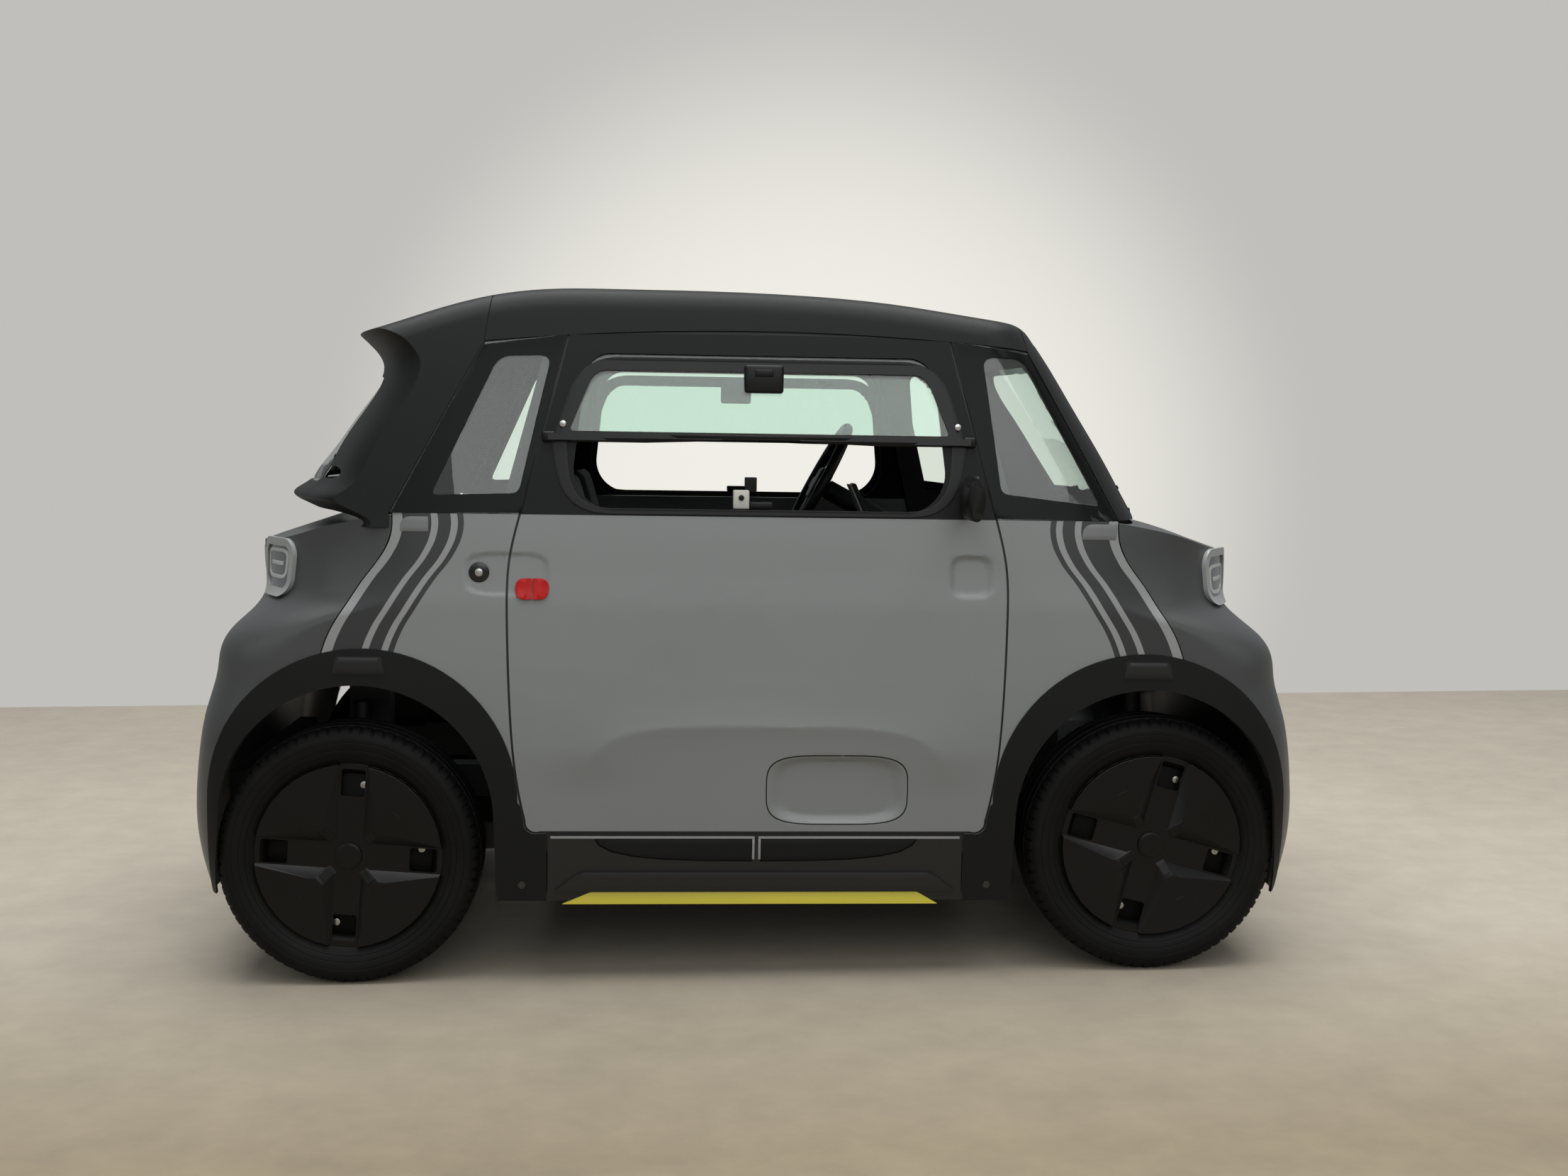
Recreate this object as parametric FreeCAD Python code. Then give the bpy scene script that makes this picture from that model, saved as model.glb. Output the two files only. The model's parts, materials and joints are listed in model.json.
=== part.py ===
# Two-seat electric microcar, parked on its four wheels.
# +X is the front, +Y the left side, +Z up; the origin is on the floor, midway between the axles.
# The body is drawn level, with like front and rear ends, and then pitched nose-down by BODY_RAKE.
import FreeCAD
import Part
import math
import os

V = FreeCAD.Vector

# Driving dimensions, in millimetres and degrees
WHEELBASE = 1728.0
TRACK = 1160.0
TYRE_RADIUS = 278.5
TYRE_WIDTH = 155.0
COVER_RADIUS = 198.0
BODY_RAKE = 0.8
RAKE_PIVOT_Z = 300.0
SKIN = 4.0
GLASS = 5.0
SEAT_GAP = 0.3
FRAME_DEPTH = 22.0
DOOR_DEPTH = 46.0
DOOR_LIP = 28.0
TRIM_PROUD = 4.0
SHUTLINE = 5.0
SEAM_GAP = 3.0
EDGE_SLOPE = 0.241
BELT_Z = 996.0
ROOF_EDGE_Z = 1380.0
SILL_BOTTOM_Z = 178.0
SILL_TOP_Z = 322.0
SILL_END_X = 442.0
STRIP_Z = 164.0
ARCH_X = 842.0
ARCH_Z = 350.0
ARCH_RADIUS = 287.0
ARCH_FOOT_IN = 546.0
ARCH_FOOT_OUT = 1152.0
TRIM_X = 830.0
TRIM_Z = 389.0
TRIM_RADIUS = 325.0
FLOOR_Z = 200.0
RAIL_DECK_Z = 300.0
REAR_RISE = 100.0
BULKHEAD_X = 532.0
BULKHEAD_HALF = 15.0
BULKHEAD_RISE = 30.0
RAIL_LIFT = 8.0
END_RAIL_Y = 270.0
END_RAIL_HALF = 32.0
END_RAIL_DEPTH = 74.0
CRASH_BEAM_X = 1148.0
CRASH_BEAM_HALF = 22.0
CRASH_BEAM_Y = 390.0
TOWER_Y = 325.0
TOWER_HALF_X = 45.0
TOWER_HALF_Y = 35.0
TOWER_FOOT = 20.0
TOWER_TOP_Z = 760.0
TOWER_BEAM = 60.0
TOWER_BEAM_HALF = 30.0
MOTOR_HALF_X = 120.0
MOTOR_HALF_Y = 234.0
MOTOR_TOP_Z = 500.0
MOTOR_CRADLE = 30.0
BATTERY_HALF_Y = 520.0
BATTERY_TOP_Z = 380.0
BATTERY_START_X = -500.0
BATTERY_END_X = -330.0
FLOOR_SHEET = 6.0
RUNNING_GAP = 0.05
STEER_GAP = 0.3
STUB_RADIUS = 14.0
HUB_RADIUS = 55.0
WHEEL_DISC = 12.0
DISC_Y = 30.0
HUB_FACE_GAP = 0.5
STUB_PROUD = 18.0
FLANGE_WIDTH = 4.0
RIM_WALL = 8.0
WHEEL_BOSS_RADIUS = 40.0
COVER_SHEET = 5.0
COVER_HOLE_IN = 127.0
COVER_HOLE_OUT = 189.0
KNUCKLE_HALF_X = 30.0
KNUCKLE_HALF_Y = 14.0
KNUCKLE_DROP = 95.0
KNUCKLE_RISE = 105.0
KNUCKLE_HUB_IN = 12.0
STEER_ARM_START = 20.0
STEER_ARM_END = 125.0
STEER_ARM_HALF = 12.0
LOWER_ARM_HALF = 28.0
LOWER_ARM_THICK = 22.0
LUG_Y = 330.0
LUG_TOP_Z = 262.0
STRUT_RADIUS = 24.0
STRUT_LENGTH = 330.0
STRUT_CAP = 30.0
STRUT_CAP_PAST = 10.0
TRAIL_ARM_Y = 440.0
TRAIL_ARM_WIDTH = 42.0
TRAIL_ARM_HALF_Z = 26.0
TRAIL_ARM_BACK = 50.0
REAR_HUB_Y = 480.0
DAMPER_Y = 432.0
DAMPER_RADIUS = 20.0
DAMPER_LENGTH = 300.0
TWIST_BEAM_RADIUS = 30.0
TWIST_BEAM_HALF = 450.0
TWIST_BEAM_LEAD = 110.0

CORNER_PULL = 0.56
SIDE_MIDDLE = 535.0

AXLE_X = WHEELBASE / 2.0
WHEEL_Y = TRACK / 2.0
FAR = 1600.0

# Body sections seen from above: height, end reach, bow of the end, half width of the bow, where the straight
# side ends, half width, how much farther back the rear corner lies, and how much deeper the rear end bows
LOWER_STATIONS = [
    (SILL_BOTTOM_Z, 1172, 5, 535, 1030, 678, 0, 0),
    (250, 1194, 5, 535, 1040, 683, 0, 0),
    (330, 1205, 5, 540, 1045, 687, 0, 0),
    (420, 1203, 5, 543, 1045, 690, 0, 0),
    (500, 1195, 5, 543, 1036, 691, 0, 0),
    (570, 1183, 6, 540, 1022, 690, 0, 0),
    (650, 1162, 7, 536, 1000, 687, 0, 0),
    (745, 1136, 12, 515, 945, 681, 0, 0),
    (775, 1131, 32, 460, 880, 679, 0, 0),
    (805, 1134, 50, 395, 790, 677, 0, 0),
    (850, 1142, 58, 368, 735, 672, 0, 0),
    (920, 1146, 60, 365, 712, 665, 0, 0),
    (1020, 1150, 60, 365, 700, 654, 0, 0),
]
UPPER_STATIONS = [
    (960, 931, 62, 471, 719, 664, 43, 34),
    (1025, 894, 62, 469, 688, 652, 116, 32),
    (1060, 874, 62, 468, 668, 646, 131, 30),
    (1120, 840, 61, 462, 632, 635, 127, 24),
    (1190, 797, 60, 455, 590, 621, 128, 14),
    (1265, 750, 58, 445, 545, 604, 126, 4),
    (1325, 713, 56, 434, 512, 588, 125, 0),
    (ROOF_EDGE_Z, 676, 54, 422, 480, 571, 126, 0),
    (1450, 628, 52, 405, 440, 548, 124, 0),
    (1530, 574, 50, 385, 395, 520, 126, 0),
]
# Rear edge of the tail moulding: height, and where its corner ends; foot, lip, window, spoiler
TAIL_LINE = [(966, 914), (1000, 948), (1022, 984), (1044, 959), (1098, 920), (1190, 867), (1280, 813), (1318, 809),
             (1350, 829), (1380, 861), (1440, 930), (1529, 1030)]
TAIL_SPREAD = 15.0
TAIL_REACH = 150.0
# Side views of the hood and of the roof crown on the centreline: distance, height
HOOD_LINE = [(600, 1002), (760, 1001), (905, 990), (985, 965), (1040, 947), (1100, 926), (1150, 904), (1250, 850)]
HOOD_CROWN = 34.0
ROOF_LINE = [(-1000, 1350), (-765, 1430), (-580, 1484), (-480, 1497), (-237, 1503), (60, 1498), (325, 1478),
             (593, 1438), (800, 1395)]
ROOF_CROWN = 22.0
ROOF_EDGE_RADIUS = 70.0
DOOR_EDGE = [(407, 1376), (454, 1181), (502, BELT_Z), (524, 893), (527, 798), (520, 598), (504, 430), (488, 352)]
DOOR_BOTTOM = (458, 329)
WINDOW_BOTTOM_Z = 1008.0
WINDOW_TOP_Z = 1338.0
WINDOW_HALF_LOW = 404.0
WINDOW_HALF_HIGH = 368.0
FLAP_HINGE_Z = 1160.0
FLAP_TOP_Z = 1322.0
FLAP_HALF_LOW = 424.0
FLAP_HALF_HIGH = 372.0
FLAP_BORDER = 20.0
FLAP_SILL = 12.0
HINGE_HALF = 448.0
HINGE_THICK = 14.0
FLAP_DEPTH = 12.0
GLASS_LAP = 12.0
UPPER_DOOR_DEPTH = 30.0
MOTOR_Z = RAIL_DECK_Z + SEAT_GAP
MIRROR_HALF = (18.0, 62.0, 52.0)
MIRROR_ROUND = 10.0
MIRROR_CHAMFER = 5.0
MIRROR_CENTRE = (436.0, -745.0, 1050.0)
MIRROR_ARM = 10.0
LAMP_X = 1036.0
LAMP_Y = -478.0
LAMP_Z = 870.0
LAMP_HALF = 88.0
LAMP_RISE = 62.0
LAMP_TURN = 40.0
LAMP_BORDER = 17.0
LAMP_PROUD = 10.0
RAIL_OUT_Y = 640.0
RAIL_IN_Y = 560.0
RAIL_TOP_Z = 290.0
BEAD_RADIUS = 190.0
BEAD_Y = 57.0
FLANGE_RADIUS = 194.0
FLANGE_Y = 59.0
TYRE_BORE = 190.7
TYRE_SIDES = 60
SIDEWALL_RADIUS = 246.0
TREAD_Y = 54.0
BORE_RADIUS = STUB_RADIUS + RUNNING_GAP
COVER_SET_IN = 3.0
COVER_STEP = 6.0
COVER_CHANNEL = 54.0
KINGPIN_Y = 520.0
STRUT_Y = 450.0
STRIP_HALF_TOP = 342.0
STRIP_HALF_LOW = 388.0
STRIP_OUT_Y = 678.0
STRIP_DEPTH = 22.0
SEAT_X = -260.0
SEAT_Y = 300.0
SEAT_Z = 560.0
SEAT_WIDTH = 440.0
SEAT_LEAN = 16.0
SEAT_BASE_BACK = 60.0
SEAT_BASE_FRONT = 330.0
SEAT_BASE_INSET = 40.0
PAN_BACK = 80.0
PAN_FRONT = 400.0
PAN_DROP = 30.0
PAN_THICK = 30.0
BACKREST_FACE = 8.0
BACKREST_HEIGHT = 620.0
BACKREST_SET = 40.0
BACKREST_DROP = 50.0
PAD_INSET = 15.0
PAD_THICK = 50.0
CUSHION_START = 12.0
CUSHION_END = 390.0
BACK_PAD_LOW = 90.0
BACK_PAD_HIGH = 590.0
DASH_HALF_Y = 600.0
FIREWALL_X = 600.0
FIREWALL_THICK = 25.0
FIREWALL_HALF_Y = 300.0
FIREWALL_TOP_Z = 935.0
STEERING_CENTRE = (200.0, 300.0, 1045.0)
STEERING_RADIUS = 165.0
RIM_THICK = 22.0
COLUMN_TILT = 28.0
COLUMN_LENGTH = 380.0
COLUMN_RADIUS = 26.0
WHEEL_HUB_GAP = 30.0
SHAFT_RADIUS = 10.0
GRIP_HALF = 14.0
BOSS_RADIUS = 45.0
BOSS_LENGTH = 40.0
SPOKE_INSET = 4.0
SPOKE_HALF = 16.0
SPOKE_BACK = 8.0
SPOKE_FRONT = 6.0
BUTTON_X = 588.0
BUTTON_Z = 874.0
BUTTON_RADIUS = 19.0
BUTTON_PROUD = 8.0
PILLAR_FOOT_X = 773.0
PILLAR_HEAD_X = 584.0
PILLAR_HEAD_Z = 1357.0
SCREEN_FOOT_X = 850.0
SCREEN_HEAD_X = 617.0
SCREEN_HEAD_Z = 1400.0
ROOF_FRONT_X = 577.0
DASH_LINE = [(560, 700), (560, 900), (540, 960), (560, 975), (780, 975), (780, 940), (600, 930), (600, 700)]
SEAM_EDGE = [(772, 1030), (768, 990), (769, 958), (789, 909), (829, 855), (866, 797), (891, 755), (909, 709),
             (922, 655)]


def box(x0, x1, y0, y1, z0, z1):
    return Part.makeBox(x1 - x0, y1 - y0, z1 - z0, V(x0, y0, z0))


def cylinder(radius, length, base, axis):
    return Part.makeCylinder(radius, length, base, axis)


def spline(points):
    curve = Part.BSplineCurve()
    curve.interpolate([V(*p) for p in points])
    return curve.toShape()


def line(a, b):
    return Part.LineSegment(V(*a), V(*b)).toShape()


def arc(a, b, c):
    return Part.Arc(V(*a), V(*b), V(*c)).toShape()


def across(edges, y0, y1):
    face = Part.Face(Part.Wire(Part.__sortEdges__(edges)))
    return face.extrude(V(0, y1 - y0, 0)).translated(V(0, y0, 0))


def unturned(shape):
    return shape


def mirror_x(shape):
    return shape.mirror(V(0, 0, 0), V(1, 0, 0))


def mirror_y(shape):
    return shape.mirror(V(0, 0, 0), V(0, 1, 0))


def half_turn(shape):
    return shape.rotated(V(0, 0, 0), V(0, 0, 1), 180)


# Sections and skins

def end_poles(station, inset, sign):
    """Control points round one end at one height: corner, bow and corner, from side to side."""
    height, reach, bow, bow_y, straight, width, extra, swell = station
    if sign > 0.0:
        extra = swell = 0.0
    depth = bow + swell
    bow_radius = (bow_y ** 2 + depth ** 2) / (2.0 * depth)
    turn = math.asin(bow_y / bow_radius)
    side_y = width - inset
    start_x = straight + extra
    end_x = reach + extra - bow - inset * math.cos(turn)
    end_y = bow_y - inset * math.sin(turn)
    pull = CORNER_PULL * (side_y - end_y)
    corner = [(start_x, side_y), (start_x + CORNER_PULL * (end_x - start_x), side_y),
              (end_x - pull * math.tan(turn), end_y + pull), (end_x, end_y)]
    handle = 4.0 / 3.0 * math.tan(turn / 2.0) * (bow_radius - inset)
    knee_x = end_x + handle * math.sin(turn)
    knee_y = end_y - handle * math.cos(turn)
    bow_poles = [(end_x, -end_y), (knee_x, -knee_y), (knee_x, knee_y), (end_x, end_y)]
    stretches = [[(x, -y) for x, y in corner], bow_poles, [(x, y) for x, y in reversed(corner)]]
    return [[V(sign * x, sign * y, height) for x, y in stretch] for stretch in stretches]


def side_poles(start, end, middle_x):
    """A flat side from one corner to the next, its middle length the same at every height."""
    if not middle_x:
        return [[start, end]]
    way = math.copysign(middle_x, start.x)
    first = V(way, start.y, start.z)
    last = V(-way, start.y, start.z)
    return [[start, first], [first, last], [last, end]]


def section_poles(station, inset, middle_x):
    """All stretches of one section: front end, left side, rear end, right side."""
    front = end_poles(station, inset, 1.0)
    rear = end_poles(station, inset, -1.0)
    return (front + side_poles(front[-1][-1], rear[0][0], middle_x)
            + rear + side_poles(rear[-1][-1], front[0][0], middle_x))


def body_loft(stations, inset, middle_x=0.0):
    """Closed solid through all the sections, its heights kept as the upward parameter."""
    sections = [section_poles(station, inset, middle_x) for station in stations]
    heights = [float(station[0]) for station in stations]
    faces = []
    for stretch, first in enumerate(sections[0]):
        columns = []
        for pole in range(len(first)):
            column = Part.BSplineCurve()
            column.interpolate(Points=[section[stretch][pole] for section in sections], Parameters=heights)
            columns.append(column)
        degree = len(columns) - 1
        surface = Part.BSplineSurface()
        surface.buildFromPolesMultsKnots([column.getPoles() for column in columns],
                                         [degree + 1, degree + 1], columns[0].getMultiplicities(),
                                         [0.0, 1.0], columns[0].getKnots(), False, False, degree, 3)
        faces.append(surface.toShape())
    for section in (sections[0], sections[-1]):
        edges = []
        for poles in section:
            curve = Part.BezierCurve()
            curve.setPoles(poles)
            edges.append(curve.toShape())
        faces.append(Part.Face(Part.Wire(edges)))
    shell = Part.makeShell(faces)
    shell.sewShape()
    return Part.makeSolid(shell)


def profile_height(profile, x):
    for (xa, za), (xb, zb) in zip(profile, profile[1:]):
        if xa <= x <= xb:
            return za + (zb - za) * (x - xa) / (xb - xa)
    return profile[-1][1] if x > profile[-1][0] else profile[0][1]


def block_above(heights, xs, ys):
    """Solid above a smooth surface given by its height over a grid."""
    surface = Part.BSplineSurface()
    surface.interpolate([[V(x, y, heights(x, y)) for y in ys] for x in xs])
    return surface.toShape().extrude(V(0, 0, 400.0))


def hood_block(inset):
    def heights(x, y):
        ramp = min(1.0, max(0.0, (abs(x) - 700.0) / 300.0))
        return profile_height(HOOD_LINE, abs(x)) - HOOD_CROWN * ramp * (y / 650.0) ** 2 - inset

    ahead = [200, 450, 600, 700, 780, 860, 940, 1020, 1100, 1180, 1260]
    xs = [-x for x in reversed(ahead)] + [0] + ahead
    return block_above(heights, xs, [-800, -600, -400, -200, 0, 200, 400, 600, 800])


def roof_block(inset):
    def heights(x, y):
        return profile_height(ROOF_LINE, x) - ROOF_CROWN * (y / 500.0) ** 2 - inset

    xs = [-1000, -850, -720, -600, -480, -300, -100, 100, 300, 450, 600, 720, 800]
    return block_above(heights, xs, [-800, -600, -400, -200, 0, 200, 400, 600, 800])


def largest(shape):
    return max(shape.Solids, key=lambda solid: solid.Volume)


def round_top(solid, radius, above_z):
    edges = [edge for edge in solid.Edges if edge.BoundBox.ZMin > above_z]
    return solid.makeFillet(radius, edges)


LOFTS = {}


def walls(inset):
    """The lower body's sides and ends as one solid without its hoods, drawn in by inset."""
    if ("walls", inset) not in LOFTS:
        LOFTS["walls", inset] = body_loft(LOWER_STATIONS, inset, SIDE_MIDDLE)
    return LOFTS["walls", inset]


def upper_walls(inset):
    """The glasshouse's sides and ends as one solid without its roof."""
    if ("upper walls", inset) not in LOFTS:
        LOFTS["upper walls", inset] = body_loft(UPPER_STATIONS, inset)
    return LOFTS["upper walls", inset]


def upper_body(inset):
    """The whole glasshouse with its roof as one solid, with its skin drawn in by inset."""
    if ("upper", inset) not in LOFTS:
        solid = body_loft(UPPER_STATIONS, inset).cut(roof_block(inset)).Solids[0]
        LOFTS["upper", inset] = round_top(solid, ROOF_EDGE_RADIUS - inset, ROOF_EDGE_Z - 40.0)
    return LOFTS["upper", inset]


def around(region, margin):
    b = region.BoundBox
    return box(b.XMin - margin, b.XMax + margin, b.YMin - margin, b.YMax + margin, b.ZMin - margin, b.ZMax + margin)


def wall_layer(region, outer, inner):
    """The part of the lower walls in a region, between two depths below the skin."""
    near = around(region, 20.0)
    return walls(outer).common(near).common(region).cut(walls(inner).common(around(region, 40.0)))


def upper_layer(region, outer, inner):
    """The same for the glasshouse below the roof."""
    near = around(region, 20.0)
    return upper_walls(outer).common(near).common(region).cut(upper_walls(inner).common(around(region, 40.0)))


def roof_layer(region, outer, inner):
    """The same for the roof, its rounded edge included."""
    near = around(region, 20.0)
    return upper_body(outer).common(near).common(region).cut(upper_body(inner).common(around(region, 40.0)))


# Side-view outlines

def rounded(points, radius):
    """Closed side-view wire through points (x, z), each corner turned with an arc."""
    count = len(points)
    corners = []
    for k in range(count):
        before, corner, after = (V(points[(k + m) % count][0], 0, points[(k + m) % count][1]) for m in (-1, 0, 1))
        back = (before - corner).normalize()
        ahead = (after - corner).normalize()
        half = math.acos(max(-1.0, min(1.0, back.dot(ahead)))) / 2.0
        turn = radius[k] if isinstance(radius, (list, tuple)) else radius
        reach = turn / math.tan(half)
        middle = corner + (back + ahead).normalize() * (turn / math.sin(half) - turn)
        corners.append((corner + back * reach, middle, corner + ahead * reach))
    edges = []
    for k in range(count):
        start, middle, end = corners[k]
        edges.append(Part.Arc(start, middle, end).toShape())
        edges.append(Part.LineSegment(end, corners[(k + 1) % count][0]).toShape())
    return edges


def door_edges(grow):
    """Outline of a door in side view, drawn outward by grow."""
    side = [(x + grow, z) for x, z in DOOR_EDGE]
    top = DOOR_EDGE[0][1] + grow
    if grow < 0.0:
        side[0] = (side[0][0] - grow * EDGE_SLOPE, top)
    bottom_x, bottom_z = DOOR_BOTTOM[0] + grow * 0.6, DOOR_BOTTOM[1] - grow
    right = spline([(x, 0, z) for x, z in side])
    left = spline([(-x, 0, z) for x, z in side])
    last_x, last_z = side[-1]
    first_x, first_z = side[0]
    peak_z = top + 7.0
    foot = []
    for sign in (1, -1):
        knee = (sign * (last_x - 4.0), 0, (last_z + bottom_z) / 2.0 - 4.0)
        foot.append(arc((sign * last_x, 0, last_z), knee, (sign * bottom_x, 0, bottom_z)))
    rise = []
    for sign in (1, -1):
        if abs(top - first_z) > 0.01:
            rise.append(line((sign * first_x, 0, first_z), (sign * first_x, 0, top)))
    return [right, left] + foot + rise + [
        line((bottom_x, 0, bottom_z), (-bottom_x, 0, bottom_z)),
        arc((first_x, 0, top), (0, 0, peak_z), (-first_x, 0, top))]


def door_prism(grow, y0=-FAR, y1=FAR):
    return across(door_edges(grow), y0, y1)


def arch_edges(grow):
    near, far = ARCH_X - ARCH_RADIUS - grow, ARCH_X + ARCH_RADIUS + grow
    foot_z = SILL_BOTTOM_Z - 60.0
    a = (ARCH_FOOT_IN - grow, 0, foot_z)
    d = (ARCH_FOOT_OUT + grow, 0, foot_z)
    top = (ARCH_X, 0, ARCH_Z + ARCH_RADIUS + grow)
    return [line(a, (near, 0, ARCH_Z)), arc((near, 0, ARCH_Z), top, (far, 0, ARCH_Z)),
            line((far, 0, ARCH_Z), d), line(d, a)]


def trim_edges():
    near, far = TRIM_X - TRIM_RADIUS, TRIM_X + TRIM_RADIUS
    sill_x = SILL_END_X + SEAM_GAP
    points = [(near, 0, TRIM_Z), (sill_x, 0, SILL_TOP_Z + 12.0), (sill_x, 0, SILL_BOTTOM_Z),
              (far + 3.0, 0, SILL_BOTTOM_Z), (far, 0, TRIM_Z)]
    lines = [line(a, b) for a, b in zip(points, points[1:])]
    return lines + [arc((near, 0, TRIM_Z), (TRIM_X, 0, TRIM_Z + TRIM_RADIUS), (far, 0, TRIM_Z))]


def seam_edges(shift, far_x):
    """Region ahead of (far_x large) or behind (far_x small) the seam between fender and face panel."""
    seam = [(x + shift, 0, z) for x, z in SEAM_EDGE]
    top, foot = seam[0], seam[-1]
    top_z = top[2] + 10.0
    foot_z = SILL_BOTTOM_Z - 10.0
    points = [top, (top[0], 0, top_z), (far_x, 0, top_z), (far_x, 0, foot_z), (foot[0], 0, foot_z), foot]
    return [spline(seam)] + [line(a, b) for a, b in zip(points, points[1:])]


BELOW_BELT = box(-FAR, FAR, -FAR, FAR, 0.0, BELT_Z)
ABOVE_BELT = box(-FAR, FAR, -FAR, FAR, BELT_Z, 2000.0)
ARCH = across(arch_edges(0.0), -FAR, FAR)


# Body panels

def front_corner_panel():
    """Right front fender: from the door to the seam, down under the arch trim to the sill."""
    region = across(seam_edges(0.0, SILL_END_X + SEAM_GAP), -FAR, -300.0)
    region = region.common(BELOW_BELT).cut(ARCH).cut(door_prism(SHUTLINE))
    return wall_layer(region, 0.0, SKIN)


def face_panel():
    """One end of the body: nose, hood and bumper in one moulding, the same at both ends."""
    region = across(seam_edges(SEAM_GAP, FAR), -FAR, FAR).common(BELOW_BELT)
    hood = hood_block(0.0)
    sides = wall_layer(region.cut(ARCH), 0.0, SKIN).cut(hood)
    top = walls(SKIN * 0.5).common(region).common(hood_block(SKIN)).cut(hood)
    under_glass = body_loft(UPPER_STATIONS, 6.0).common(box(-FAR, FAR, -FAR, FAR, 900.0, 1100.0))
    return sides.fuse(top.cut(under_glass))


def front_arch_trim():
    region = across(trim_edges(), -FAR, -300.0).cut(ARCH).cut(door_prism(SHUTLINE))
    return wall_layer(region, -TRIM_PROUD - SEAT_GAP, -SEAT_GAP)


def side_region(points, y0=-FAR, y1=-300.0):
    corners = [(x, 0, z) for x, z in points]
    return across([line(a, b) for a, b in zip(corners, corners[1:] + corners[:1])], y0, y1)


def window_hole(grow, y0=-FAR, y1=-300.0):
    """Opening of the door window: fixed upper pane and open lower half."""
    points = [(-WINDOW_HALF_LOW - grow, WINDOW_BOTTOM_Z - grow), (WINDOW_HALF_LOW + grow, WINDOW_BOTTOM_Z - grow),
              (WINDOW_HALF_HIGH + grow, WINDOW_TOP_Z + grow), (-WINDOW_HALF_HIGH - grow, WINDOW_TOP_Z + grow)]
    return across(rounded(points, [85.0, 85.0, 55.0, 55.0]), y0, y1)


def flap_outline(grow, sill):
    """Flap seen from the side, larger by grow, with its lower edge raised by sill."""
    low_z = FLAP_HINGE_Z + sill
    points = [(-FLAP_HALF_LOW - grow, low_z), (FLAP_HALF_LOW + grow, low_z),
              (FLAP_HALF_HIGH + grow, FLAP_TOP_Z + grow), (-FLAP_HALF_HIGH - grow, FLAP_TOP_Z + grow)]
    return across(rounded(points, [6.0, 6.0, 60.0 + grow, 60.0 + grow]), -FAR, -300.0)


# Doors

def door_lower_right():
    """Grey lower door: thin skin out to the shutline, thick panel inside it."""
    outer = door_prism(0.0, -FAR, -300.0).common(BELOW_BELT)
    inner = door_prism(-DOOR_LIP, -FAR, -300.0).common(BELOW_BELT)
    return wall_layer(outer, 0.0, SKIN).fuse(wall_layer(inner, SKIN / 2.0, DOOR_DEPTH))


def door_frame_right():
    """Black upper door round the window."""
    outer = door_prism(0.0, -FAR, -300.0).common(ABOVE_BELT).cut(window_hole(0.0))
    inner = door_prism(-DOOR_LIP, -FAR, -300.0).common(ABOVE_BELT).cut(window_hole(GLASS_LAP + 2.0))
    return upper_layer(outer, 0.0, SKIN).fuse(upper_layer(inner, SKIN / 2.0, UPPER_DOOR_DEPTH))


def door_glass_right():
    """Fixed upper pane behind the frame, and the pane of the raised flap."""
    band = box(-FAR, FAR, -FAR, FAR, FLAP_HINGE_Z + 4.0, WINDOW_TOP_Z + 100.0)
    depth = SKIN + SEAT_GAP
    fixed = upper_layer(window_hole(GLASS_LAP).common(band), depth, depth + GLASS)
    pane_out = -SEAT_GAP - FLAP_DEPTH / 2.0
    flap_hole = flap_outline(-FLAP_BORDER - SEAT_GAP, FLAP_SILL + SEAT_GAP)
    flap = upper_layer(flap_hole, pane_out - GLASS / 2.0, pane_out + GLASS / 2.0)
    return Part.makeCompound([fixed, flap])


def flap_frame_right():
    """Frame of the raised flap, with the hinge bar that it turns on."""
    ring = flap_outline(0.0, 0.0).cut(flap_outline(-FLAP_BORDER, FLAP_SILL))
    half = HINGE_THICK / 2.0
    bar = box(-HINGE_HALF, HINGE_HALF, -FAR, -RAIL_OUT_Y / 2.0, FLAP_HINGE_Z - half, FLAP_HINGE_Z + half)
    frame = upper_layer(ring, -SEAT_GAP - FLAP_DEPTH, -SEAT_GAP)
    return frame.fuse(upper_layer(bar, -SEAT_GAP - HINGE_THICK, -SEAT_GAP))


def mirror_right():
    """Door mirror: a slender upright housing with a pointed top, on a short arm from the window frame."""
    x, y, z = MIRROR_CENTRE
    half_x, half_y, half_z = MIRROR_HALF
    outline = [(x - half_x, z - half_z), (x + half_x, z - half_z), (x + half_x, z + half_z * 0.4), (x, z + half_z),
               (x - half_x, z + half_z * 0.4)]
    housing = across(rounded(outline, MIRROR_ROUND), y - half_y, y + half_y)
    ends = [edge for edge in housing.Edges if edge.BoundBox.YLength < 1.0]
    arm = cylinder(MIRROR_ARM, 2.0 * half_y, V(x, y, z - half_z / 2.0), V(0, 1, 0))
    return housing.makeChamfer(MIRROR_CHAMFER, ends).fuse(arm).cut(upper_walls(-SEAT_GAP))


# Glasshouse

def quarter_window(flip):
    """Right quarter glass; flip turns the front one's outline into the rear one's."""
    points = [(PILLAR_FOOT_X - 330.0, BELT_Z + 1.0), (PILLAR_FOOT_X, BELT_Z + 1.0), (PILLAR_HEAD_X, PILLAR_HEAD_Z),
              (400.0, 1377.0)]
    region = side_region(points).cut(door_prism(SHUTLINE))
    return upper_layer(flip(region), 0.0, GLASS)


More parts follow.
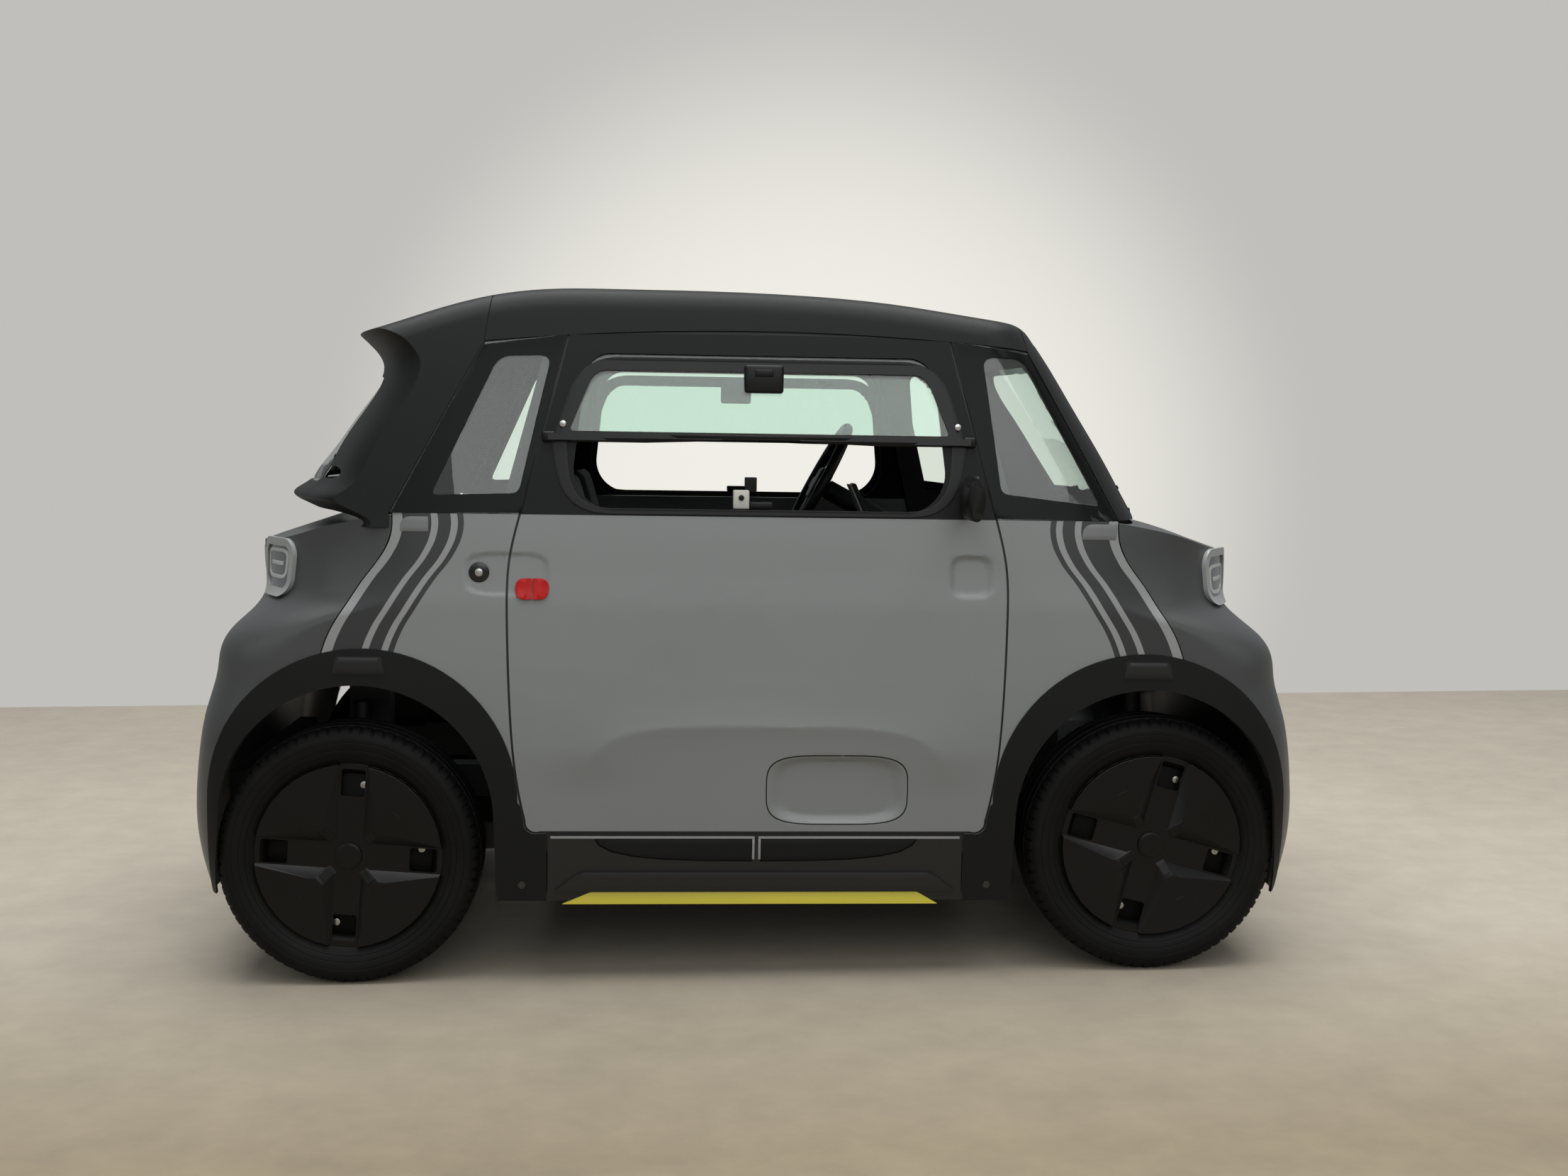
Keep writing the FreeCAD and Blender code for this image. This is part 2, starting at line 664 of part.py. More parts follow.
def front_pillar_frame():
    """Pillars beside the windscreen and the header above it, in one moulding."""
    points = [(PILLAR_FOOT_X + SEAM_GAP, BELT_Z + 1.0), (PILLAR_HEAD_X + SEAM_GAP, PILLAR_HEAD_Z),
              (ROOF_FRONT_X + SEAM_GAP, SCREEN_HEAD_Z + 20.0), (ROOF_FRONT_X + SEAM_GAP, FAR), (FAR, FAR),
              (FAR, SCREEN_HEAD_Z), (SCREEN_HEAD_X, SCREEN_HEAD_Z), (SCREEN_FOOT_X, BELT_Z + 1.0)]
    return roof_layer(side_region(points, -FAR, FAR), 0.0, SKIN)


def windscreen_pane():
    head_z = SCREEN_HEAD_Z - SEAM_GAP
    points = [(SCREEN_FOOT_X + SEAM_GAP, BELT_Z + 2.0), (FAR, BELT_Z + 2.0), (FAR, head_z),
              (SCREEN_HEAD_X + SEAM_GAP, head_z)]
    return roof_layer(side_region(points, -FAR, FAR), 0.0, GLASS)


def roof_region():
    low_x, low_z = PILLAR_HEAD_X + 2.0, PILLAR_HEAD_Z + SEAM_GAP
    lower = arc((-low_x, 0, low_z), (0, 0, low_z + 31.0), (low_x, 0, low_z))
    points = [(low_x, 0, low_z), (ROOF_FRONT_X, 0, SCREEN_HEAD_Z + 20.0), (ROOF_FRONT_X, 0, FAR), (-560, 0, FAR),
              (-560, 0, 1560), (-low_x, 0, low_z)]
    return across([lower] + [line(a, b) for a, b in zip(points, points[1:])], -FAR, FAR)


def roof_panel():
    return roof_layer(roof_region(), 0.0, SKIN)


def lower_body(grow):
    """The whole lower body as one solid, larger than its panels by grow."""
    top = box(-FAR, FAR, -FAR, FAR, 0.0, BELT_Z + grow)
    return walls(-grow).common(top).cut(hood_block(-grow))


def tail_stations():
    """Sections of the glasshouse whose rear end follows the tail moulding."""
    rows = []
    for height, corner_x in TAIL_LINE:
        pairs = zip(UPPER_STATIONS, UPPER_STATIONS[1:])
        low, high = [pair for pair in pairs if pair[0][0] <= height <= pair[1][0]][0]
        share = (height - low[0]) / (high[0] - low[0])
        reach, bow, bow_y, straight, width, _, swell = (a + (b - a) * share for a, b in zip(low[1:], high[1:]))
        rows.append((height, reach, bow, bow_y, straight, width + TAIL_SPREAD, corner_x - (reach - bow), swell))
    return rows


def rear_surround():
    """Tail moulding round the rear window, with its spoiler above and its lip below."""
    points = [(-PILLAR_FOOT_X - SEAM_GAP, TAIL_LINE[0][0]), (-PILLAR_FOOT_X - SEAM_GAP, BELT_Z + 1.0),
              (-PILLAR_HEAD_X - SEAM_GAP, PILLAR_HEAD_Z + SEAM_GAP), (-560.0 - SEAM_GAP, 1560.0), (-FAR, 1560.0),
              (-FAR, TAIL_LINE[0][0])]
    region = side_region(points, -FAR, FAR)
    long_rows = [row[:6] + (row[6] + TAIL_REACH,) + row[7:] for row in UPPER_STATIONS]
    sides = round_top(body_loft(long_rows, 0.0).cut(roof_block(0.0)).Solids[0], ROOF_EDGE_RADIUS, ROOF_EDGE_Z - 40.0)
    outer = sides.common(body_loft(tail_stations(), 0.0)).common(region)
    return largest(outer.cut(upper_body(SKIN)).cut(rear_window_region(0.0)).cut(lower_body(SEAT_GAP)))


def rear_window_region(grow):
    half_low, half_high, z0, z1 = 455.0 + grow, 400.0 + grow, 1052.0 - grow, 1290.0 + grow
    turned = rounded([(-half_low, z0), (half_low, z0), (half_high, z1), (-half_high, z1)], 50.0)
    face = Part.Face(Part.Wire(Part.__sortEdges__(turned)))
    prism = face.extrude(V(0, 900.0, 0))
    return prism.rotated(V(0, 0, 0), V(0, 0, 1), 90).translated(V(-600.0, 0, 0))


def rear_pane():
    depth = SKIN + SEAT_GAP
    return upper_layer(rear_window_region(GLASS_LAP), depth, depth + GLASS)


# Lamps

def lamp_prism(grow):
    """A rounded square looking outward and ahead at the front right corner."""
    half = LAMP_HALF + grow
    outline = rounded([(-half, LAMP_Z - LAMP_RISE - grow), (half, LAMP_Z - LAMP_RISE - grow),
                       (half, LAMP_Z + LAMP_RISE + grow), (-half, LAMP_Z + LAMP_RISE + grow)], 40.0 + grow)
    face = Part.Face(Part.Wire(Part.__sortEdges__(outline)))
    prism = face.extrude(V(0, -260.0, 0)).translated(V(0, 130.0, 0))
    return prism.rotated(V(0, 0, 0), V(0, 0, 1), 90.0 - LAMP_TURN).translated(V(LAMP_X, LAMP_Y, 0))


def lamp_bezel():
    ring = lamp_prism(0.0).cut(lamp_prism(-LAMP_BORDER))
    return wall_layer(ring, -LAMP_PROUD, -SEAT_GAP)


def lamp_lens():
    return wall_layer(lamp_prism(-LAMP_BORDER - SEAT_GAP), -LAMP_PROUD / 2.0, -SEAT_GAP)


# Structure

def frame_bands(grow_out, grow_in):
    return door_prism(grow_out, -FAR, -300.0).cut(door_prism(-grow_in, -FAR, -300.0))


def body_frame():
    """Inner body: rings round the doors and arches, belt rails, pillars and roof rails."""
    depth, inner = SKIN + SEAT_GAP, SKIN + SEAT_GAP + FRAME_DEPTH
    above, below = GLASS + SEAT_GAP, GLASS + SEAT_GAP + FRAME_DEPTH
    hood = hood_block(SKIN + SEAT_GAP)
    ring = frame_bands(45.0, 18.0)
    parts = [wall_layer(ring.common(BELOW_BELT), depth, inner),
             roof_layer(ring.common(ABOVE_BELT), above, below)]
    arch_top = box(500.0, FAR, -FAR, -300.0, 440.0, 700.0)
    arch_band = across(arch_edges(34.0), -FAR, -300.0).cut(ARCH).common(arch_top)
    belt = side_region([(500.0, BELT_Z - 46.0), (860.0, BELT_Z - 46.0), (860.0, BELT_Z), (500.0, BELT_Z)])
    for region in (arch_band, belt):
        layer = wall_layer(region.cut(door_prism(0.0)), depth, inner).cut(hood)
        parts += [layer, mirror_x(layer)]
    pillar = side_region([(PILLAR_FOOT_X - 22.0, BELT_Z), (PILLAR_HEAD_X - 22.0, PILLAR_HEAD_Z), (560.0, 1408.0),
                          (600.0, 1408.0), (SCREEN_FOOT_X + 24.0, BELT_Z)])
    base = side_region([(480.0, BELT_Z), (FAR, BELT_Z), (FAR, BELT_Z + 26.0), (480.0, BELT_Z + 26.0)], -FAR, 0.0)
    head = side_region([(380.0, 1350.0), (FAR, 1350.0), (FAR, 1404.0), (380.0, 1404.0)], -FAR, 0.0)
    for region in (pillar, base, head):
        kept = region.cut(door_prism(0.0))
        parts += [roof_layer(kept, above, below), roof_layer(mirror_x(kept), above, below)]
    half = parts[0].multiFuse(parts[1:])
    return half.fuse(mirror_y(half))


def upright_box(x, half_x, y, half_y, z0, z1):
    return box(x - half_x, x + half_x, y - half_y, y + half_y, z0, z1)


def chassis():
    """Sill rails, bulkheads, end rails, strut towers and crash beams in one weldment."""
    rail_half = (RAIL_OUT_Y - RAIL_IN_Y) / 2.0
    rail_half_x = (CRASH_BEAM_X - BULKHEAD_X) / 2.0
    parts = []
    for side in (-1.0, 1.0):
        rail_y = side * (RAIL_OUT_Y + RAIL_IN_Y) / 2.0
        parts.append(upright_box(0.0, BULKHEAD_X, rail_y, rail_half, SILL_BOTTOM_Z + RAIL_LIFT, RAIL_TOP_Z))
    for end, rise in ((1.0, 0.0), (-1.0, REAR_RISE)):
        deck = RAIL_DECK_Z + rise
        under = deck - END_RAIL_DEPTH
        axle_x = end * AXLE_X
        rail_x = end * (BULKHEAD_X + CRASH_BEAM_X) / 2.0
        for side in (-1.0, 1.0):
            parts.append(upright_box(rail_x, rail_half_x, side * END_RAIL_Y, END_RAIL_HALF, under, deck))
            tower_z = deck - TOWER_FOOT
            parts.append(upright_box(axle_x, TOWER_HALF_X, side * TOWER_Y, TOWER_HALF_Y, tower_z, TOWER_TOP_Z))
        bulkhead_z = deck + BULKHEAD_RISE
        parts.append(upright_box(end * BULKHEAD_X, BULKHEAD_HALF, 0.0, RAIL_OUT_Y, FLOOR_Z, bulkhead_z))
        parts.append(upright_box(end * CRASH_BEAM_X, CRASH_BEAM_HALF, 0.0, CRASH_BEAM_Y, under, deck))
        parts.append(upright_box(axle_x, TOWER_BEAM_HALF, 0.0, TOWER_Y, TOWER_TOP_Z - TOWER_BEAM, TOWER_TOP_Z))
    parts.append(upright_box(AXLE_X, MOTOR_HALF_X, 0.0, END_RAIL_Y, RAIL_DECK_Z - MOTOR_CRADLE, RAIL_DECK_Z))
    return parts[0].multiFuse(parts[1:]).removeSplitter()


def floor_pan():
    """Flat floor between the sill rails and the bulkheads."""
    half_x = BULKHEAD_X - BULKHEAD_HALF - SEAT_GAP
    return upright_box(0.0, half_x, 0.0, RAIL_IN_Y - SEAT_GAP, FLOOR_Z, FLOOR_Z + FLOOR_SHEET)


def motor():
    return upright_box(AXLE_X, MOTOR_HALF_X, 0.0, MOTOR_HALF_Y, MOTOR_Z, MOTOR_TOP_Z)


def battery():
    floor = FLOOR_Z + FLOOR_SHEET
    return box(BATTERY_START_X, BATTERY_END_X, -BATTERY_HALF_Y, BATTERY_HALF_Y, floor, BATTERY_TOP_Z)


# Wheels and axles

def revolve_y(edges):
    face = Part.Face(Part.Wire(Part.__sortEdges__(edges)))
    return face.revolve(V(0, 0, 0), V(0, 1, 0), 360.0)


def ring_profile(points):
    corners = [(r, y, 0) for r, y in points]
    return [line(a, b) for a, b in zip(corners, corners[1:] + corners[:1])]


def washer(inner, outer, y0, y1):
    return revolve_y(ring_profile([(inner, y0), (outer, y0), (outer, y1), (inner, y1)]))


def tyre():
    """Tyre round the Y axis as a closed ring of flat faces; its tread and roundings are added later."""
    half = TYRE_WIDTH / 2.0
    section = [(TYRE_BORE, -BEAD_Y), (SIDEWALL_RADIUS, -half), (TYRE_RADIUS, -TREAD_Y),
               (TYRE_RADIUS, TREAD_Y), (SIDEWALL_RADIUS, half), (TYRE_BORE, BEAD_Y)]
    flat = 1.0 / math.cos(math.pi / TYRE_SIDES)
    rings = []
    for k in range(TYRE_SIDES):
        turn = 2.0 * math.pi * (k + 0.5) / TYRE_SIDES
        rings.append([V(r * flat * math.cos(turn), y, r * flat * math.sin(turn)) for r, y in section])
    faces = []
    for ring, following in zip(rings, rings[1:] + rings[:1]):
        for a, b in zip(range(len(section)), list(range(1, len(section))) + [0]):
            faces.append(Part.Face(Part.makePolygon([ring[a], ring[b], following[b], following[a], ring[a]])))
    shell = Part.makeShell(faces)
    shell.sewShape()
    solid = Part.makeSolid(shell)
    if solid.Volume < 0.0:
        solid.reverse()
    return solid


def wheel():
    """Rim round the Y axis with its outer side towards -Y, carrying the flat cover."""
    inner = BEAD_RADIUS - RIM_WALL
    edge_y = FLANGE_Y + FLANGE_WIDTH
    rim = revolve_y(ring_profile([
        (inner, -edge_y), (FLANGE_RADIUS, -edge_y), (FLANGE_RADIUS, -FLANGE_Y), (BEAD_RADIUS, -FLANGE_Y),
        (BEAD_RADIUS, FLANGE_Y), (FLANGE_RADIUS, FLANGE_Y), (FLANGE_RADIUS, edge_y), (inner, edge_y)]))
    disc = washer(BORE_RADIUS, inner + 1.0, -DISC_Y - WHEEL_DISC, -DISC_Y)
    face_y = -(TYRE_WIDTH / 2.0 - COVER_SET_IN)
    step_y = face_y + COVER_STEP
    plate = cylinder(COVER_RADIUS, COVER_SHEET, V(0, step_y, 0), V(0, 1, 0))
    raised = cylinder(COVER_RADIUS, COVER_STEP, V(0, face_y, 0), V(0, 1, 0))
    hub = washer(BORE_RADIUS, WHEEL_BOSS_RADIUS, step_y + 1.0, -DISC_Y)
    channel = COVER_CHANNEL / 2.0
    for turn in (0.0, 90.0):
        slot = box(-channel, channel, face_y - 1.0, step_y, -COVER_RADIUS, COVER_RADIUS)
        raised = raised.cut(slot.rotated(V(0, 0, 0), V(0, 1, 0), turn))
    cover = plate.fuse(raised)
    for turn in (0.0, 90.0, 180.0, 270.0):
        window = box(-channel, channel, face_y - 1.0, step_y + 2.0 * COVER_SHEET, COVER_HOLE_IN, COVER_HOLE_OUT)
        cover = cover.cut(window.rotated(V(0, 0, 0), V(0, 1, 0), turn))
    return rim.fuse(disc).fuse(hub).fuse(cover)


def knuckle():
    """Front right steering knuckle in its own place: carrier, arm and stub axle."""
    x, z = AXLE_X, TYRE_RADIUS
    stub_end = WHEEL_Y + DISC_Y + WHEEL_DISC + STUB_PROUD
    hub_start = KINGPIN_Y + KNUCKLE_HUB_IN
    hub_end = WHEEL_Y + DISC_Y - HUB_FACE_GAP
    stub = cylinder(STUB_RADIUS, stub_end - KINGPIN_Y, V(x, -KINGPIN_Y, z), V(0, -1, 0))
    hub = cylinder(HUB_RADIUS, hub_end - hub_start, V(x, -hub_start, z), V(0, -1, 0))
    carrier = upright_box(x, KNUCKLE_HALF_X, -KINGPIN_Y, KNUCKLE_HALF_Y, z - KNUCKLE_DROP, z + KNUCKLE_RISE)
    arm = box(x - STEER_ARM_END, x - STEER_ARM_START, -KINGPIN_Y - STEER_ARM_HALF, -KINGPIN_Y + STEER_ARM_HALF,
              z - STEER_ARM_HALF, z + STEER_ARM_HALF)
    return carrier.fuse(stub).fuse(hub).fuse(arm)


def side_box(x, half_x, y_in, y_out, z0, z1):
    """Box on the right side between two distances from the middle."""
    return box(x - half_x, x + half_x, -y_out, -y_in, z0, z1)


def front_suspension():
    """Lower arms and struts of the front axle."""
    arm_z = TYRE_RADIUS - KNUCKLE_DROP - STEER_GAP
    strut_z = TYRE_RADIUS + KNUCKLE_RISE + STEER_GAP
    cap_z = strut_z + STRUT_LENGTH
    inner_y = END_RAIL_Y + END_RAIL_HALF + SEAT_GAP
    outer_y = KINGPIN_Y + KNUCKLE_HUB_IN
    arm = side_box(AXLE_X, LOWER_ARM_HALF, inner_y, outer_y, arm_z - LOWER_ARM_THICK, arm_z)
    lug = side_box(AXLE_X, LOWER_ARM_HALF, inner_y, LUG_Y, arm_z - LOWER_ARM_THICK, LUG_TOP_Z)
    strut = cylinder(STRUT_RADIUS, STRUT_LENGTH, V(AXLE_X, -STRUT_Y, strut_z), V(0, 0, 1))
    foot = side_box(AXLE_X, STRUT_RADIUS, STRUT_Y, outer_y, strut_z, strut_z + LOWER_ARM_THICK)
    tower_side = TOWER_Y + TOWER_HALF_Y + SEAT_GAP
    cap = side_box(AXLE_X, STRUT_RADIUS, tower_side, STRUT_Y + STRUT_CAP_PAST, cap_z - STRUT_CAP, cap_z)
    pieces = [arm.fuse(lug), strut.multiFuse([foot, cap])]
    return Part.makeCompound(pieces + [mirror_y(piece) for piece in pieces])


def rear_axle():
    """Twist beam with trailing arms, dampers and the stub axles of the rear wheels."""
    z = TYRE_RADIUS
    stub_end = WHEEL_Y + DISC_Y + WHEEL_DISC + STUB_PROUD
    hub_end = WHEEL_Y + DISC_Y - HUB_FACE_GAP
    parts = []
    for side in (-1.0, 1.0):
        across_y = V(0, side, 0)
        y0, y1 = sorted((side * TRAIL_ARM_Y, side * (TRAIL_ARM_Y + TRAIL_ARM_WIDTH)))
        parts.append(cylinder(STUB_RADIUS, stub_end - TRAIL_ARM_Y, V(-AXLE_X, side * TRAIL_ARM_Y, z), across_y))
        parts.append(cylinder(HUB_RADIUS, hub_end - REAR_HUB_Y, V(-AXLE_X, side * REAR_HUB_Y, z), across_y))
        low_z, high_z = z - TRAIL_ARM_HALF_Z, z + TRAIL_ARM_HALF_Z
        parts.append(box(-AXLE_X - TRAIL_ARM_BACK, -BULKHEAD_X, y0, y1, low_z, high_z))
        parts.append(cylinder(DAMPER_RADIUS, DAMPER_LENGTH, V(-AXLE_X, side * DAMPER_Y, z), V(0, 0, 1)))
    beam_start = V(TWIST_BEAM_LEAD - AXLE_X, -TWIST_BEAM_HALF, z)
    parts.append(cylinder(TWIST_BEAM_RADIUS, 2.0 * TWIST_BEAM_HALF, beam_start, V(0, 1, 0)))
    past_bulkhead = box(-BULKHEAD_X - BULKHEAD_HALF - SEAT_GAP, 0.0, -RAIL_OUT_Y, RAIL_OUT_Y, 0.0, TOWER_TOP_Z)
    return parts[0].multiFuse(parts[1:]).cut(raked(past_bulkhead))


# Sills

def sill_right():
    region = box(-SILL_END_X, SILL_END_X, -FAR, -RAIL_IN_Y, SILL_BOTTOM_Z, SILL_TOP_Z)
    return wall_layer(region, 0.0, SKIN)


def sill_strip_right():
    """Coloured strip under the sill."""
    outline = [(-STRIP_HALF_LOW, STRIP_Z), (STRIP_HALF_LOW, STRIP_Z), (STRIP_HALF_TOP, SILL_BOTTOM_Z),
               (-STRIP_HALF_TOP, SILL_BOTTOM_Z)]
    return side_region(outline, -STRIP_OUT_Y, STRIP_DEPTH - STRIP_OUT_Y)


# Cabin

def reclined(shape):
    """Lean a backrest drawn upright at the origin, and set it at the rear of its seat."""
    leant = shape.rotated(V(0, 0, 0), V(0, 1, 0), -SEAT_LEAN)
    return leant.translated(V(SEAT_X - BACKREST_SET, 0, SEAT_Z - BACKREST_DROP))


def seat_shell(y):
    """Seat shell with its base, facing forward at the given side."""
    half = SEAT_WIDTH / 2.0
    base_half = half - SEAT_BASE_INSET
    pan_z = SEAT_Z - PAN_DROP
    floor = FLOOR_Z + FLOOR_SHEET
    base = box(SEAT_X - SEAT_BASE_BACK, SEAT_X + SEAT_BASE_FRONT, y - base_half, y + base_half, floor, pan_z - PAN_THICK)
    pan = box(SEAT_X - PAN_BACK, SEAT_X + PAN_FRONT, y - half, y + half, pan_z - PAN_THICK, pan_z)
    back = box(BACKREST_FACE - PAN_THICK, BACKREST_FACE, y - half, y + half, 0.0, BACKREST_HEIGHT)
    return base.fuse(pan).fuse(reclined(back))


def seat_pads(y):
    half = SEAT_WIDTH / 2.0 - PAD_INSET
    pan_z = SEAT_Z - PAN_DROP
    y0, y1 = y - half, y + half
    cushion = box(SEAT_X + CUSHION_START, SEAT_X + CUSHION_END, y0, y1, pan_z + SEAT_GAP, pan_z + PAD_THICK)
    pad = box(BACKREST_FACE + SEAT_GAP, BACKREST_FACE + PAD_THICK, y0, y1, BACK_PAD_LOW, BACK_PAD_HIGH)
    return [cushion, reclined(pad)]


def dashboard():
    """Shelf across the cabin under the windscreen, with the front bulkhead below it."""
    shelf = side_region(DASH_LINE, -DASH_HALF_Y, DASH_HALF_Y)
    wall = box(FIREWALL_X, FIREWALL_X + FIREWALL_THICK, -FIREWALL_HALF_Y, FIREWALL_HALF_Y,
               RAIL_DECK_Z + SEAT_GAP, FIREWALL_TOP_Z)
    return shelf.fuse(wall).cut(column_tube(COLUMN_RADIUS + SEAT_GAP))


def along(direction, shape):
    """Turn a shape drawn along +Z so that it points along a direction."""
    turned = shape.copy()
    turned.Placement = FreeCAD.Placement(V(0, 0, 0), FreeCAD.Rotation(V(0, 0, 1), direction))
    return turned


def column_direction():
    tilt = math.radians(COLUMN_TILT)
    return V(-math.cos(tilt), 0, math.sin(tilt))


def column_tube(radius):
    reach = COLUMN_LENGTH
    tube = cylinder(radius, reach, V(0, 0, -reach - WHEEL_HUB_GAP), V(0, 0, 1))
    return along(column_direction(), tube).translated(V(*STEERING_CENTRE))


def steering_column():
    shaft_start = V(0, 0, -WHEEL_HUB_GAP - 2.0)
    shaft = along(column_direction(), cylinder(SHAFT_RADIUS, BOSS_LENGTH, shaft_start, V(0, 0, 1)))
    return column_tube(COLUMN_RADIUS).fuse(shaft.translated(V(*STEERING_CENTRE)))


def steering_wheel():
    """Rim, two spokes and boss, drawn square to the column."""
    half = RIM_THICK / 2.0
    r = STEERING_RADIUS
    section = [(r - GRIP_HALF, 0.0), (r - half, half), (r + half, half),
               (r + GRIP_HALF, 0.0), (r + half, -half), (r - half, -half)]
    rim = revolve_y(ring_profile(section)).rotated(V(0, 0, 0), V(1, 0, 0), 90)
    boss = cylinder(BOSS_RADIUS, BOSS_LENGTH, V(0, 0, -WHEEL_HUB_GAP + SEAT_GAP), V(0, 0, 1))
    reach = r - SPOKE_INSET
    bar = box(-reach, reach, -SPOKE_HALF, SPOKE_HALF, -SPOKE_BACK, SPOKE_FRONT)
    spoke = box(-GRIP_HALF, GRIP_HALF, -reach, 0.0, -SPOKE_BACK, SPOKE_FRONT)
    bore = cylinder(SHAFT_RADIUS + RUNNING_GAP, 2.0 * BOSS_LENGTH, V(0, 0, -2.0 * WHEEL_HUB_GAP), V(0, 0, 1))
    wheel_shape = rim.fuse(boss).fuse(bar).fuse(spoke).cut(bore)
    return along(column_direction(), wheel_shape).translated(V(*STEERING_CENTRE))


def door_button_right():
    plane = -walls_half_width(BUTTON_Z)
    start = V(-BUTTON_X, plane - BUTTON_PROUD, BUTTON_Z)
    barrel = cylinder(BUTTON_RADIUS, 2.0 * BUTTON_PROUD, start, V(0, 1, 0))
    return barrel.cut(walls(-SEAT_GAP))


def walls_half_width(z):
    for low, high in zip(LOWER_STATIONS, LOWER_STATIONS[1:]):
        if low[0] <= z <= high[0]:
            return low[5] + (high[5] - low[5]) * (z - low[0]) / (high[0] - low[0])
    return LOWER_STATIONS[0][5]


# Export

def raked(shape):
    return shape.rotated(V(0, 0, RAKE_PIVOT_Z), V(0, 1, 0), BODY_RAKE)


def save(name, shape):
    shape.exportStep("parts/" + name + ".step")


def four_corners(shape):
    return Part.makeCompound([shape, mirror_x(shape), mirror_y(shape), mirror_x(mirror_y(shape))])


def build():
    os.makedirs("parts", exist_ok=True)
    corner = front_corner_panel()
    save("corner_panel_front_right", raked(corner))
    save("corner_panel_front_left", raked(mirror_y(corner)))
    save("corner_panel_rear_right", raked(mirror_x(corner)))
    save("corner_panel_rear_left", raked(half_turn(corner)))
    face = face_panel()
    save("face_panel_front", raked(face))
    save("face_panel_rear", raked(mirror_x(face)))
    save("arch_trims", raked(four_corners(front_arch_trim())))
    sill = sill_right()
    save("sills", raked(Part.makeCompound([sill, mirror_y(sill)])))
    strip = sill_strip_right()
    save("sill_strips", raked(Part.makeCompound([strip, mirror_y(strip)])))
    save("body_frame", raked(body_frame()))
    save("chassis", raked(chassis()))
    save("floor_pan", raked(floor_pan()))
    save("roof_panel", raked(roof_panel()))
    save("rear_surround", raked(rear_surround()))
    save("windscreen", raked(windscreen_pane()))
    save("rear_window", raked(rear_pane()))
    quarters = [quarter_window(flip) for flip in (unturned, mirror_x)]
    save("quarter_windows", raked(Part.makeCompound(quarters + [mirror_y(pane) for pane in quarters])))
    save("front_pillars", raked(front_pillar_frame()))
    for end, flip in (("front", unturned), ("rear", mirror_x)):
        for kind, make in (("bezels", lamp_bezel), ("lenses", lamp_lens)):
            lamp = make()
            save("lamp_" + kind + "_" + end, raked(flip(Part.makeCompound([lamp, mirror_y(lamp)]))))
    shells = [seat_shell(side * SEAT_Y) for side in (-1.0, 1.0)]
    save("seat_shells", raked(Part.makeCompound(shells)))
    save("seat_pads", raked(Part.makeCompound(seat_pads(-SEAT_Y) + seat_pads(SEAT_Y))))
    save("dashboard", raked(dashboard()))
    save("steering_column", raked(steering_column()))
    save("steering_wheel", raked(steering_wheel()))
    save("motor", raked(motor()))
    save("battery", raked(battery()))
    button = door_button_right()
    save("door_buttons", raked(Part.makeCompound([button, half_turn(button)])))
    door_parts = (("panel", door_lower_right), ("frame", door_frame_right), ("glass", door_glass_right),
                  ("flap_frame", flap_frame_right))
    for kind, make in door_parts:
        shape = make()
        save("door_right_" + kind, raked(shape))
        save("door_left_" + kind, raked(half_turn(shape)))
    mirror = mirror_right()
    save("door_right_mirror", raked(mirror))
    save("door_left_mirror", raked(mirror_y(mirror)))
    save("front_suspension", front_suspension())
    save("rear_axle", rear_axle())
    upright = knuckle()
    save("knuckle_right", upright)
    save("knuckle_left", mirror_y(upright))
    ring = tyre()
    disc = wheel()
    for end, x in (("front", AXLE_X), ("rear", -AXLE_X)):
        place = V(x, -WHEEL_Y, TYRE_RADIUS)
        save("tyre_" + end + "_right", ring.translated(place))
        save("tyre_" + end + "_left", mirror_y(ring.translated(place)))
        save("wheel_" + end + "_right", disc.translated(place))
        save("wheel_" + end + "_left", mirror_y(disc.translated(place)))


if __name__ == "__main__":
    build()
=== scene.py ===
# Dresses the microcar: paint, glass, lamps, tyres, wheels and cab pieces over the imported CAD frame.
import json
import math

import bpy
from mathutils import Matrix, Vector

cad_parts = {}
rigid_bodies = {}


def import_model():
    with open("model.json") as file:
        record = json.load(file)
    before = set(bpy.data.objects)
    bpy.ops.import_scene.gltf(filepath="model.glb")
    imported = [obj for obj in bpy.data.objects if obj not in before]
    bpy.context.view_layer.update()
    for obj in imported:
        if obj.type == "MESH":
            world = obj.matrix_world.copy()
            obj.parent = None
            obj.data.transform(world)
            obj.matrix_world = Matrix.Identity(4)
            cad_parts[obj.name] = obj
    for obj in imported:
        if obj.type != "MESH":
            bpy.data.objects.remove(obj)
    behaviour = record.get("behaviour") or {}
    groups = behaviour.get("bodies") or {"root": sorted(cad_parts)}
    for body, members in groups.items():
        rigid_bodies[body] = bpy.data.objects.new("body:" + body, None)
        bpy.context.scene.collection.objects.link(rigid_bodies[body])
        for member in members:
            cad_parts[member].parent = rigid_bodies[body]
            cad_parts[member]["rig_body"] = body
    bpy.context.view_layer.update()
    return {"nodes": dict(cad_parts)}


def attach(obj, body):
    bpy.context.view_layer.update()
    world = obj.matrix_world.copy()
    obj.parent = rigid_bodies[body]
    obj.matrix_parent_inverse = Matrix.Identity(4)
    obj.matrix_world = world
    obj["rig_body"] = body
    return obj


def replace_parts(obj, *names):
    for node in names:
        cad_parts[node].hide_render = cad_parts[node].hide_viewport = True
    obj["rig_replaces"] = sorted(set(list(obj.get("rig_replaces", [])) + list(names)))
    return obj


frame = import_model()

bl_info = {
    "name": "Electric microcar",
    "version": (1, 0, 0),
    "blender": (4, 5, 0),
    "location": "View3D > Sidebar > Microcar",
    "description": "Builds the visible pieces of a two-seat electric microcar",
    "category": "Object",
}

